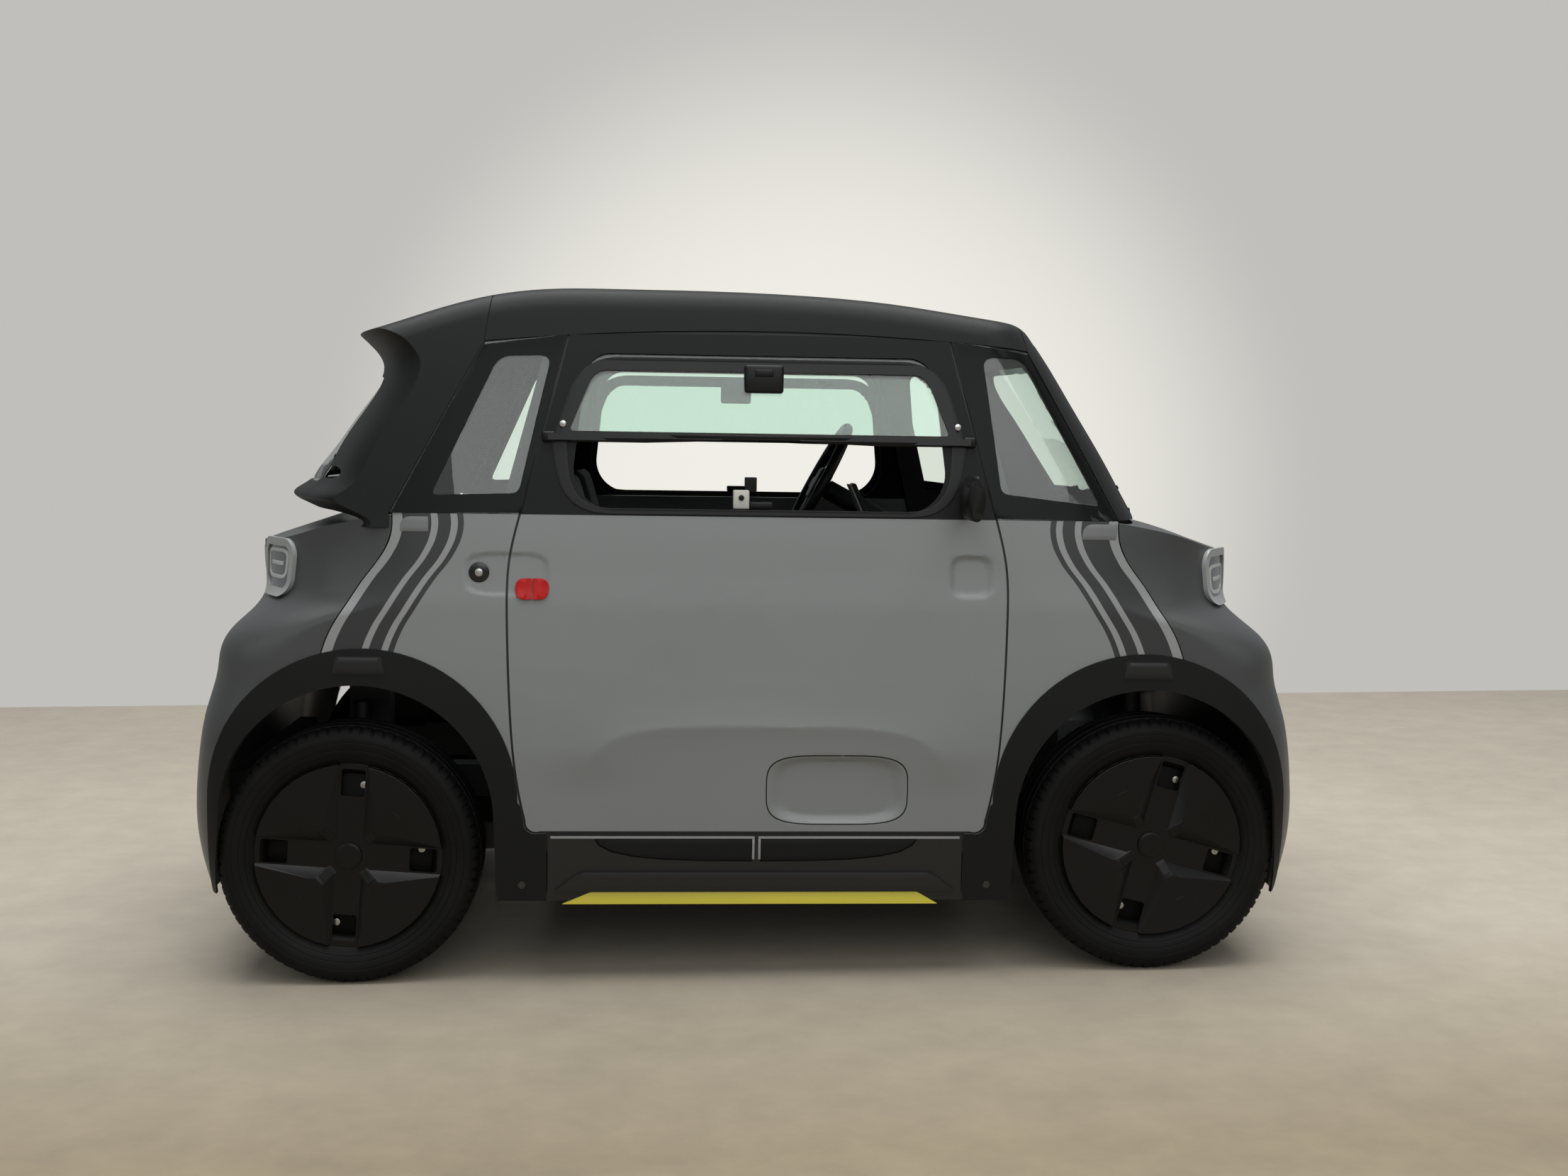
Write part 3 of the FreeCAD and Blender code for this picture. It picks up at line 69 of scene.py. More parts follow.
MM = 0.001
BODY = "car_body"
SIDES = ("left", "right")
ENDS = ("front", "rear")
LEVEL_PIVOT = Matrix.Translation((0.0, 0.0, 0.3))
# The body is drawn level, as the outlines below give it, and then pitched nose-down
RAKED = LEVEL_PIVOT @ Matrix.Rotation(math.radians(0.8), 4, "Y") @ LEVEL_PIVOT.inverted()
HALF_TURN = RAKED @ Matrix.Rotation(math.pi, 4, "Z") @ RAKED.inverted()
ACROSS = Matrix.Scale(-1.0, 4, (0.0, 1.0, 0.0))
END_TO_END = RAKED @ Matrix.Scale(-1.0, 4, (1.0, 0.0, 0.0)) @ RAKED.inverted()
AXLE_X = 864.0
AXLE_Z = 278.5
WHEEL_Y = 580.0
AS_DRAWN = Matrix.Identity(4)
# Where a sheet starts before it is pressed on to the body, in millimetres from the middle
FAR = {"X": 1500.0, "Y": 900.0}
FULL_TURN = 2.0 * math.pi
ROUND_THE_AXLE = {"angle": FULL_TURN, "center": (0.0, 0.0, 0.0), "axis": (0.0, 1.0, 0.0)}
# Vertices nearer than this, in metres, become one; the finer value is for the CAD meshes
WELD, FINE_WELD = 0.00002, 0.00001
# Seam between fender and hood moulding, in the level body's frame, from low to high
SEAM_LINE = [(0.912, 0.70), (0.891, 0.755), (0.866, 0.797), (0.829, 0.855), (0.789, 0.909), (0.769, 0.958),
             (0.770, 1.00)]


# Properties

class MicrocarColours(bpy.types.PropertyGroup):
    """Colours of the finishes, as sRGB."""
    panel_grey: bpy.props.StringProperty(name="Panel grey", description="Moulded grey panels", default="#717474")
    charcoal: bpy.props.StringProperty(name="Charcoal", description="Hood, roof and tail mouldings", default="#161717")
    hood_grey: bpy.props.StringProperty(name="Hood grey", description="Hood and tail faces", default="#383A3A")
    trim_black: bpy.props.StringProperty(
        name="Trim black", description="Arch trims, sills and grained trim",
        default="#0B0C0C")
    stripe_light: bpy.props.StringProperty(
        name="Light stripe", description="Light lines of the fender stripes",
        default="#7E8080")
    stripe_dark: bpy.props.StringProperty(
        name="Dark stripe", description="Dark bands of the fender stripes",
        default="#202122")
    strip_yellow: bpy.props.StringProperty(name="Yellow strip", description="Strip under the sills", default="#C2B63C")
    lamp_shell: bpy.props.StringProperty(
        name="Lamp surround", description="Light surround of each lamp",
        default="#8C8F8E")
    glass_tint: bpy.props.StringProperty(name="Glass tint", description="Tint of the window glass", default="#EDF8F3")
    reflector_red: bpy.props.StringProperty(name="Reflector red", description="Side reflector", default="#A00E08")
    floor: bpy.props.StringProperty(name="Floor", description="Studio floor", default="#A0988A")
    backdrop: bpy.props.StringProperty(name="Backdrop", description="Studio backdrop", default="#C1BFBB")
    backdrop_glow: bpy.props.StringProperty(
        name="Backdrop glow", description="Lit part of the backdrop behind the car",
        default="#F0EEE6")


class MicrocarSizes(bpy.types.PropertyGroup):
    """Sizes of the detail that the scene adds."""
    grain: bpy.props.FloatProperty(
        name="Plastic grain", description="Width of one grain of the moulded plastic",
        default=1.6 * MM, unit="LENGTH")
    groove: bpy.props.FloatProperty(
        name="Tread depth", description="Depth of the tyre grooves",
        default=6.0 * MM, unit="LENGTH")
    tread_blocks: bpy.props.IntProperty(
        name="Tread blocks", description="Blocks round each shoulder of a tyre",
        default=72)
    weave: bpy.props.FloatProperty(
        name="Seat weave", description="Width of two threads of the seat cloth",
        default=6.0 * MM, unit="LENGTH")


# Materials

def srgb(text):
    """Linear colour with alpha from an sRGB hex value."""
    values = [int(text[i:i + 2], 16) / 255.0 for i in (1, 3, 5)]
    return [v / 12.92 if v <= 0.04045 else ((v + 0.055) / 1.055) ** 2.4 for v in values] + [1.0]


def add(material, kind, inputs=None, **settings):
    """Adds one shader node with its settings, values and links."""
    node = material.node_tree.nodes.new("ShaderNode" + kind)
    for key, value in settings.items():
        setattr(node, key, value)
    for key, value in (inputs or {}).items():
        if isinstance(value, bpy.types.NodeSocket):
            material.node_tree.links.new(value, node.inputs[key])
        else:
            node.inputs[key].default_value = value
    return node


def blank(name):
    """A new material without nodes."""
    material = bpy.data.materials.new(name)
    material.use_nodes = True
    material.node_tree.nodes.clear()
    return material


def finish(material, shader):
    """Sends the last shader to the material's output."""
    add(material, "OutputMaterial", {"Surface": shader.outputs[0]})
    return material


def shaded(colour, factor):
    """A colour made lighter or darker."""
    return [min(1.0, c * factor) for c in colour[:3]] + [1.0]


def moulded(name, colour, roughness, grain, depth, variation=0.06, coat=0.0, specular=0.5):
    """Moulded polymer: fine grain from the tool, faint cloudiness in colour and gloss."""
    material = blank(name)
    place = add(material, "TexCoord").outputs["Object"]
    fine = add(material, "TexNoise", {"Vector": place, "Scale": 1.0 / grain, "Detail": 2.0})
    cloud = add(material, "TexNoise", {"Vector": place, "Scale": 3.0, "Detail": 3.0})
    base = srgb(colour)
    tone = add(material, "Mix", {0: cloud.outputs["Fac"], 6: shaded(base, 1.0 - variation),
                                 7: shaded(base, 1.0 + variation)}, data_type="RGBA")
    gloss = add(material, "MapRange", {"Value": cloud.outputs["Fac"], "From Min": 0.3, "From Max": 0.7,
                                                 "To Min": roughness * 0.92, "To Max": min(1.0, roughness * 1.08)})
    bump = add(material, "Bump", {"Height": fine.outputs["Fac"], "Strength": 0.5, "Distance": depth})
    shader = add(material, "BsdfPrincipled", {
        "Base Color": tone.outputs[2], "Roughness": gloss.outputs["Result"], "IOR": 1.5, "Specular IOR Level": specular,
        "Normal": bump.outputs["Normal"], "Coat Weight": coat, "Coat Roughness": 0.25})
    return finish(material, shader)


def glass(name, tint, roughness=0.0):
    """Safety glass: clear, polished, green at the edge and lightly tinted through."""
    material = blank(name)
    place = add(material, "TexCoord").outputs["Object"]
    film = add(material, "TexNoise", {"Vector": place, "Scale": 6.0, "Detail": 3.0})
    tone = add(material, "Mix", {0: film.outputs["Fac"], 6: shaded(srgb(tint), 0.985), 7: srgb(tint)}, data_type="RGBA")
    shader = add(material, "BsdfPrincipled", {
        "Base Color": tone.outputs[2], "Roughness": roughness, "IOR": 1.45, "Transmission Weight": 1.0})
    return finish(material, shader)


def metal(name, colour, roughness):
    """Zinc-plated or polished steel: bright, with faint hazy patches from handling."""
    material = blank(name)
    place = add(material, "TexCoord").outputs["Object"]
    haze = add(material, "TexNoise", {"Vector": place, "Scale": 40.0, "Detail": 3.0})
    gloss = add(material, "MapRange", {"Value": haze.outputs["Fac"], "To Min": roughness * 0.7, "To Max": roughness * 1.3})
    shader = add(material, "BsdfPrincipled", {
        "Base Color": srgb(colour), "Metallic": 1.0, "Roughness": gloss.outputs["Result"]})
    return finish(material, shader)


def rubber(name, colour):
    """Tyre rubber: matt black, greyer where road dust clings, with a fine moulded texture."""
    material = blank(name)
    place = add(material, "TexCoord").outputs["Object"]
    dust = add(material, "TexNoise", {"Vector": place, "Scale": 9.0, "Detail": 6.0, "Roughness": 0.65})
    fine = add(material, "TexNoise", {"Vector": place, "Scale": 700.0, "Detail": 2.0})
    share = add(material, "MapRange", {"Value": dust.outputs["Fac"], "From Min": 0.4, "From Max": 0.75})
    tone = add(material, "Mix", {0: share.outputs["Result"], 6: srgb(colour), 7: srgb("#0F0F0E")}, data_type="RGBA")
    bump = add(material, "Bump", {"Height": fine.outputs["Fac"], "Strength": 0.4, "Distance": 0.15 * MM})
    shader = add(material, "BsdfPrincipled", {"Base Color": tone.outputs[2], "Roughness": 0.62, "IOR": 1.5,
                                                        "Specular IOR Level": 0.15, "Normal": bump.outputs["Normal"]})
    return finish(material, shader)


def woven(name, colour, pitch):
    """Plain woven seat cloth: crossed threads, drawn coarser than life so that they show."""
    material = blank(name)
    place = add(material, "TexCoord").outputs["Object"]
    waves = [add(material, "TexWave", {"Vector": place, "Scale": 0.5 / pitch}, bands_direction=axis)
             for axis in ("X", "Y", "Z")]
    cross = add(material, "Math", {0: waves[0].outputs["Fac"], 1: waves[2].outputs["Fac"]}, operation="MAXIMUM")
    weave = add(material, "Math", {0: cross.outputs[0], 1: waves[1].outputs["Fac"]}, operation="MULTIPLY")
    base = srgb(colour)
    tone = add(material, "Mix", {0: weave.outputs[0], 6: shaded(base, 0.6), 7: base}, data_type="RGBA")
    bump = add(material, "Bump", {"Height": weave.outputs[0], "Strength": 0.6, "Distance": 0.4 * MM})
    shader = add(material, "BsdfPrincipled", {
        "Base Color": tone.outputs[2], "Roughness": 0.9, "Sheen Weight": 0.3, "Normal": bump.outputs["Normal"]})
    return finish(material, shader)


def striped(name, colours):
    """Grey fender panel with its vinyl stripes, which run at set distances from the seam line."""
    material = blank(name)
    place = add(material, "TexCoord").outputs["Object"]
    unraked = RAKED.inverted()
    level = add(material, "Mapping", {"Vector": place, "Rotation": unraked.to_euler(), "Location": unraked.to_translation()})
    axes = add(material, "SeparateXYZ", {0: level.outputs["Vector"]})
    reach = add(material, "Math", {0: axes.outputs["X"]}, operation="ABSOLUTE")
    height = add(material, "MapRange", {"Value": axes.outputs["Z"], "From Min": 0.70, "From Max": 1.0})
    seam = add(material, "FloatCurve", {"Value": height.outputs["Result"]})
    curve = seam.mapping.curves[0]
    points = [((z - 0.70) / 0.30, x) for x, z in SEAM_LINE]
    curve.points[0].location = points[0]
    curve.points[1].location = points[-1]
    for point in points[1:-1]:
        curve.points.new(*point)
    seam.mapping.update()
    inward = add(material, "Math", {0: seam.outputs["Value"], 1: reach.outputs[0]}, operation="SUBTRACT")
    share = add(material, "MapRange", {"Value": inward.outputs[0], "From Min": -0.02, "From Max": 0.18})
    bands = add(material, "ValToRGB", {"Fac": share.outputs["Result"]})
    bands.color_ramp.interpolation = "CONSTANT"
    steps = bands.color_ramp.elements
    light, dark, plain = srgb(colours.stripe_light), srgb(colours.stripe_dark), srgb(colours.panel_grey)
    steps[0].position, steps[0].color = 0.0, light
    steps[1].position, steps[1].color = (0.020 + 0.02) / 0.2, dark
    for distance, colour in ((0.080, light), (0.094, dark), (0.120, light), (0.134, dark), (0.147, plain)):
        step = steps.new((distance + 0.02) / 0.2)
        step.color = colour
    fine = add(material, "TexNoise", {"Vector": place, "Scale": 1.0 / (1.6 * MM), "Detail": 2.0})
    bump = add(material, "Bump", {"Height": fine.outputs["Fac"], "Strength": 0.4, "Distance": 0.05 * MM})
    shader = add(material, "BsdfPrincipled", {"Base Color": bands.outputs["Color"], "Roughness": 0.42, "IOR": 1.5,
                                                        "Normal": bump.outputs["Normal"]})
    return finish(material, shader)


def studio_floor(name, colour):
    """Matt studio floor: mottled beige concrete in patches, and a browner, darker strip of painted shade in front of
    the car.
    """
    material = blank(name)
    place = add(material, "TexCoord").outputs["Object"]
    cloud = add(material, "TexNoise", {"Vector": place, "Scale": 7.0, "Detail": 8.0, "Roughness": 0.7})
    patch = add(material, "TexNoise", {"Vector": place, "Scale": 0.6, "Detail": 2.0})
    mottle = add(material, "Mix", {0: 0.4, 2: cloud.outputs["Fac"], 3: patch.outputs["Fac"]}, data_type="FLOAT")
    spread = add(material, "MapRange", {"Value": mottle.outputs[0], "From Min": 0.35, "From Max": 0.65})
    base, shade_brown = srgb(colour), srgb("#7D725D")
    tone = add(material, "Mix", {0: spread.outputs["Result"], 6: shaded(base, 0.9), 7: shaded(base, 1.1)}, data_type="RGBA")
    # Painted shade: the floor turns browner and darker in a strip 2.2 m out on the car's right side, fully within 0.6 m
    # of that line and fading out by 1.9 m
    axes = add(material, "SeparateXYZ", {0: place})
    shifted = add(material, "Math", {0: axes.outputs["Y"], 1: 2.2}, operation="ADD")
    aside = add(material, "Math", {0: shifted.outputs[0]}, operation="ABSOLUTE")
    ahead = add(material, "MapRange", {"Value": aside.outputs[0], "From Min": 0.6, "From Max": 1.9})
    painted_shade_tone = add(material, "Mix", {0: spread.outputs["Result"], 6: shaded(shade_brown, 0.86), 7: shaded(shade_brown, 1.14)},
               data_type="RGBA")
    blend = add(material, "Mix", {0: ahead.outputs["Result"], 6: painted_shade_tone.outputs[2], 7: tone.outputs[2]}, data_type="RGBA")
    shader = add(material, "BsdfPrincipled", {"Base Color": blend.outputs[2], "Roughness": 0.75})
    return finish(material, shader)


# Making pieces

def at(x, y, z):
    """Shift in millimetres."""
    return Matrix.Translation(Vector((x, y, z)) * MM)


def about_y(degrees):
    """Turn about the axle's direction."""
    return Matrix.Rotation(math.radians(degrees), 4, "Y")


def only(piece):
    """Selects one object alone and makes it active."""
    bpy.ops.object.select_all(action="DESELECT")
    piece.select_set(True)
    bpy.context.view_layer.objects.active = piece


def keep(piece, name, material, body=None, degrees=30.0):
    """Names a finished piece, smooths it, gives it its finish and seats it on its body."""
    only(piece)
    bpy.ops.object.shade_smooth_by_angle(angle=math.radians(degrees))
    piece.name = name
    piece.data.name = name
    piece.data.materials.clear()
    piece.data.materials.append(material)
    if body:
        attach(piece, body)
    return piece


def settled(piece):
    """Puts an object's place, turn and size into its mesh."""
    only(piece)
    bpy.ops.object.transform_apply(location=True, rotation=True, scale=True)
    return piece


def modified(piece, kind, **settings):
    """Adds one modifier, sets it and applies it."""
    only(piece)
    modifier = piece.modifiers.new(kind.title(), kind)
    for key, value in settings.items():
        setattr(modifier, key, value)
    bpy.ops.object.modifier_apply(modifier=modifier.name)
    return piece


def edged(piece, width, segments=2):
    """Rounds the sharp edges of a piece."""
    return modified(piece, "BEVEL", width=width * MM, segments=segments, limit_method="ANGLE",
                    angle_limit=math.radians(40.0))


def edited(piece, *steps):
    """Runs edit-mode steps on all of a piece's mesh."""
    only(piece)
    bpy.ops.object.mode_set(mode="EDIT")
    for step in steps:
        bpy.ops.mesh.select_all(action="SELECT")
        step()
    bpy.ops.object.mode_set(mode="OBJECT")
    return piece


def outward():
    """Edit-mode step that turns the faces outwards."""
    bpy.ops.mesh.normals_make_consistent(inside=False)


def moved(piece, matrix):
    """Moves the mesh, and turns its faces out again where the move mirrors it."""
    piece.data.transform(matrix)
    if matrix.determinant() < 0.0:
        edited(piece, bpy.ops.mesh.flip_normals)
    return piece


def copied(piece, matrix, name, body):
    """A copy of a finished piece with its own mesh at another place."""
    twin = piece.copy()
    twin.data = piece.data.copy()
    twin.name = name
    twin.data.name = name
    bpy.context.collection.objects.link(twin)
    if "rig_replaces" in twin:
        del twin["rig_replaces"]
    moved(twin, matrix)
    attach(twin, body)
    return twin


def block(low, high, edge, segments=2, placed=RAKED):
    """Box between two corners in millimetres, with rounded edges."""
    bpy.ops.object.select_all(action="DESELECT")
    bpy.ops.mesh.primitive_cube_add(size=1.0, location=[(a + b) * 0.5 * MM for a, b in zip(low, high)])
    piece = bpy.context.object
    piece.scale = [abs(b - a) * MM for a, b in zip(low, high)]
    return moved(edged(settled(piece), edge, segments), placed)


def disc(centre, radius, depth, edge, vertices=48, placed=RAKED):
    """Short cylinder along Y with rounded edges."""
    bpy.ops.object.select_all(action="DESELECT")
    bpy.ops.mesh.primitive_cylinder_add(vertices=vertices, radius=radius * MM, depth=depth * MM,
                                        rotation=(math.radians(90.0), 0.0, 0.0), location=[v * MM for v in centre])
    return moved(edged(settled(bpy.context.object), edge), placed)


def loop(outline, across, fill="NGON", axis="Y"):
    """A closed outline in millimetres on a plane across Y, or across X where its first number runs along Y."""
    bpy.ops.object.select_all(action="DESELECT")
    bpy.ops.mesh.primitive_circle_add(vertices=len(outline), fill_type=fill)
    piece = bpy.context.object
    for vertex, (a, z) in zip(piece.data.vertices, outline):
        vertex.co = Vector((a, across, z) if axis == "Y" else (across, a, z)) * MM
    return piece


def extruded(piece, along):
    """Pulls a flat outline out by a vector in metres and turns its faces outwards."""
    return edited(piece, lambda: bpy.ops.mesh.extrude_region_move(TRANSFORM_OT_translate={"value": along}), outward)


def spun(section, steps):
    """Ring about the Y axis from a closed section of radius and place across."""
    piece = loop([(0.0, 0.0)] * len(section), 0.0, "NOTHING")
    for vertex, (radius, y) in zip(piece.data.vertices, section):
        vertex.co = Vector((0.0, y, radius)) * MM
    return edited(piece, lambda: bpy.ops.mesh.spin(steps=steps, **ROUND_THE_AXLE),
                  lambda: bpy.ops.mesh.remove_doubles(threshold=WELD), outward)


def plate(outline, y, thick, edge, placed=RAKED):
    """Flat plate with the given outline, thick along Y."""
    return moved(edged(extruded(loop(outline, y), (0.0, thick * MM, 0.0)), edge), placed)


def removed(*pieces):
    """Deletes working pieces that finished ones were copied from."""
    for piece in pieces:
        bpy.data.objects.remove(piece)


def joined(*pieces):
    """Joins pieces into the first one."""
    bpy.ops.object.select_all(action="DESELECT")
    for piece in pieces:
        piece.select_set(True)
    bpy.context.view_layer.objects.active = pieces[0]
    bpy.ops.object.join()
    return pieces[0]


def pressed(piece, target, lift, thick, edge, axis, away):
    """Projects an open sheet on a panel, lifts it off, makes it thick inwards and rounds its edges.

    Corners past the panel's edge take the depth of the nearest one on it.
    """
    along = {"use_project_" + axis.lower(): True}
    index = "XYZ".index(axis)
    starts = [vertex.co[index] for vertex in piece.data.vertices]
    modified(piece, "SHRINKWRAP", target=target, wrap_method="PROJECT", use_negative_direction=True,
             use_positive_direction=True, cull_face="BACK", offset=lift * MM, **along)
    met, missed = [], []
    for vertex, start in zip(piece.data.vertices, starts):
        (met if abs(vertex.co[index] - start) > MM and vertex.co[index] * away > 0.0 else missed).append(vertex)
    if not met:
        raise ValueError("a sheet misses " + target.name)
    for vertex in missed:
        near = min(met, key=lambda other: sum((other.co[k] - vertex.co[k]) ** 2 for k in range(3) if k != index))
        vertex.co[index] = near.co[index]
    mean = sum(face.normal[index] * face.area for face in piece.data.polygons)
    if mean * away < 0.0:
        edited(piece, bpy.ops.mesh.flip_normals)
    modified(piece, "SOLIDIFY", thickness=thick * MM, offset=-1.0)
    return edged(piece, edge) if edge else piece


def laid(outline, target, lift, thick, edge=0.4, axis="Y", away=-1.0, cuts=2):
    """Plate that follows a body panel under it."""
    piece = loop(outline, FAR[axis] * away, axis=axis)
    edited(piece, bpy.ops.mesh.quads_convert_to_tris, lambda: bpy.ops.mesh.subdivide(number_cuts=cuts))
    return pressed(moved(piece, RAKED), target, lift, thick, edge, axis, away)


def framed(outer, inner, target, lift, thick, edge=0.0, axis="Y", away=-1.0, cuts=2):
    """Ring between two outlines that follows a panel under it."""
    far = FAR[axis] * away
    piece = edited(loop(outer, far, axis=axis), lambda: bpy.ops.mesh.inset(thickness=0.1 * MM))
    rim = [vertex.co.copy() for vertex in piece.data.vertices[:len(outer)]]
    for vertex in piece.data.vertices[len(outer):]:
        partner = min(range(len(rim)), key=lambda k: (rim[k] - vertex.co).length)
        a, z = inner[partner]
        vertex.co = Vector((a * MM, vertex.co.y, z * MM) if axis == "Y" else (vertex.co.x, a * MM, z * MM))
    only(piece)
    bpy.ops.object.mode_set(mode="EDIT")
    bpy.ops.mesh.select_mode(type="FACE")
    bpy.ops.mesh.select_all(action="DESELECT")
    bpy.ops.object.mode_set(mode="OBJECT")
    max(piece.data.polygons, key=lambda face: len(face.vertices)).select = True
    bpy.ops.object.mode_set(mode="EDIT")
    bpy.ops.mesh.delete(type="FACE")
    bpy.ops.mesh.select_mode(type="VERT")
    bpy.ops.object.mode_set(mode="OBJECT")
    edited(piece, lambda: bpy.ops.mesh.subdivide(number_cuts=cuts))
    return pressed(moved(piece, RAKED), target, lift, thick, edge, axis, away)


def squircle(centre, half, power=4.0, count=48):
    """Outline of a rounded rectangle whose sides bulge a little."""
    points = []
    for k in range(count):
        turn = 2.0 * math.pi * k / count
        c, s = math.cos(turn), math.sin(turn)
        points.append((centre[0] + half[0] * math.copysign(abs(c) ** (2.0 / power), c),
                       centre[1] + half[1] * math.copysign(abs(s) ** (2.0 / power), s)))
    return points


def filleted(corners, radii, steps=6):
    """Polygon with each corner rounded to its own radius."""
    points = []
    count = len(corners)
    for k, radius in enumerate(radii):
        before, corner, after = (Vector(corners[(k + m) % count]) for m in (-1, 0, 1))
        start = corner + (before - corner).normalized() * radius
        end = corner + (after - corner).normalized() * radius
        for m in range(steps + 1):
            t = m / steps
            points.append(tuple((1 - t) ** 2 * start + 2 * t * (1 - t) * corner + t ** 2 * end))
    return points


def merged_copy(node):
    """A copy of a CAD node's mesh with its loose triangles joined."""
    source = frame["nodes"][node]
    piece = bpy.data.objects.new(node + "_skin", source.data.copy())
    bpy.context.collection.objects.link(piece)
    only(piece)
    if piece.data.has_custom_normals:
        bpy.ops.mesh.customdata_custom_splitnormals_clear()
    return edited(piece, lambda: bpy.ops.mesh.remove_doubles(threshold=FINE_WELD))


def body_of(node):
    """The moving body that a node belongs to."""
    return frame["nodes"][node]["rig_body"]


def dress(node, material, degrees=30.0, edge=0.0):
    """Shows a node as a joined, smooth copy with its own finish."""
    piece = merged_copy(node)
    if edge:
        edited(piece, lambda: bpy.ops.mesh.dissolve_limited(angle_limit=math.radians(1.0)))
        edged(piece, edge)
    keep(piece, node + "_skin", material, body_of(node), degrees)
    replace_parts(piece, node)
    return piece


def skin(node):
    """The dressed copy of a node."""
    return bpy.data.objects[node + "_skin"]


# Soft forms pressed into the side panels

def ramp(value, start, end):
    """Smooth step from 0 at start to 1 at end."""
    share = min(1.0, max(0.0, (value - start) / (end - start)))
    return share * share * (3.0 - 2.0 * share)


def reach_from(x, z, centre, half, power=4.0):
    """1 on the outline of a rounded rectangle, less inside it."""
    return (abs((x - centre[0]) / half[0]) ** power + abs((z - centre[1]) / half[1]) ** power) ** (1.0 / power)


def gridded(piece, xs, zs):
    """Cuts a panel along level-frame planes, so that soft forms have vertices to bend."""
    piece.data.transform(RAKED.inverted())
    cuts = [((x * MM, 0.0, 0.0), (1.0, 0.0, 0.0)) for x in xs]
    cuts += [((0.0, 0.0, z * MM), (0.0, 0.0, 1.0)) for z in zs]
    only(piece)
    bpy.ops.object.mode_set(mode="EDIT")
    for place, normal in cuts:
        bpy.ops.mesh.select_all(action="SELECT")
        bpy.ops.mesh.bisect(plane_co=place, plane_no=normal)
    bpy.ops.object.mode_set(mode="OBJECT")
    return piece


def every(start, end, step):
    """Even steps from start to end."""
    return [start + step * k for k in range(int((end - start) / step) + 1)]


# Centre and half size of each form on the level side, and how deep it is pressed
DOOR_CREASE, CREASE_DEPTH = ((20.0, 384.0), (382.0, 170.0)), 8.0
DOOR_POCKET, POCKET_DEPTH = ((170.0, 419.0), (152.0, 75.5)), 11.0
DOOR_DISH, DISH_DEPTH = ((451.0, 875.0), (47.0, 47.0)), 6.0
HANDLE_DISH, HANDLE_DEPTH = ((-530.0, 871.0), (92.0, 46.0)), 2.8
# How fast the door's crease fades away outside its outline and inside it
FADE_OUT, FADE_IN = 55.0, 42.0


def handle_form(x, z):
    """The shallow dish round the lock, which runs from the fender on to the door."""
    return HANDLE_DEPTH * (1.0 - ramp(reach_from(x, z, *HANDLE_DISH), 0.84, 0.99))


def door_form(x, z):
    """How far the door skin lies inside the plain body, in millimetres."""
    past = (reach_from(x, z, *DOOR_CREASE) - 1.0) * DOOR_CREASE[1][1]
    if past > 0.0:
        ridge = -CREASE_DEPTH * math.exp(-past / FADE_OUT)
    else:
        ridge = CREASE_DEPTH * (1.0 - math.exp(past / FADE_IN)) - CREASE_DEPTH
    pocket = POCKET_DEPTH * (1.0 - ramp(reach_from(x, z, *DOOR_POCKET), 0.76, 0.99))
    dish = DISH_DEPTH * (1.0 - ramp(reach_from(x, z, *DOOR_DISH), 0.76, 0.99))
    return pocket + dish + handle_form(x, z) + ridge * ramp(z, 400.0, 510.0)


def formed(piece, form):
    """Bends a level panel of the right side inwards by its form, then pitches it back."""
    for vertex in piece.data.vertices:
        vertex.co.y += form(vertex.co.x / MM, vertex.co.z / MM) * MM
    piece.data.transform(RAKED)
    return piece


# Operators

# Camera fitted to the photograph: place in metres, turns in degrees, focal length in the photograph's pixels
CAMERA_PLACE = (-0.191, -4.423, 1.166)
CAMERA_TURNS = ((-3.812, "Z"), (-4.849, "X"), (-0.09, "Y"))
FOCAL_PIXELS, PHOTO_WIDTH = 2518.6, 2212.0
FILM_WIDTH = 36.0


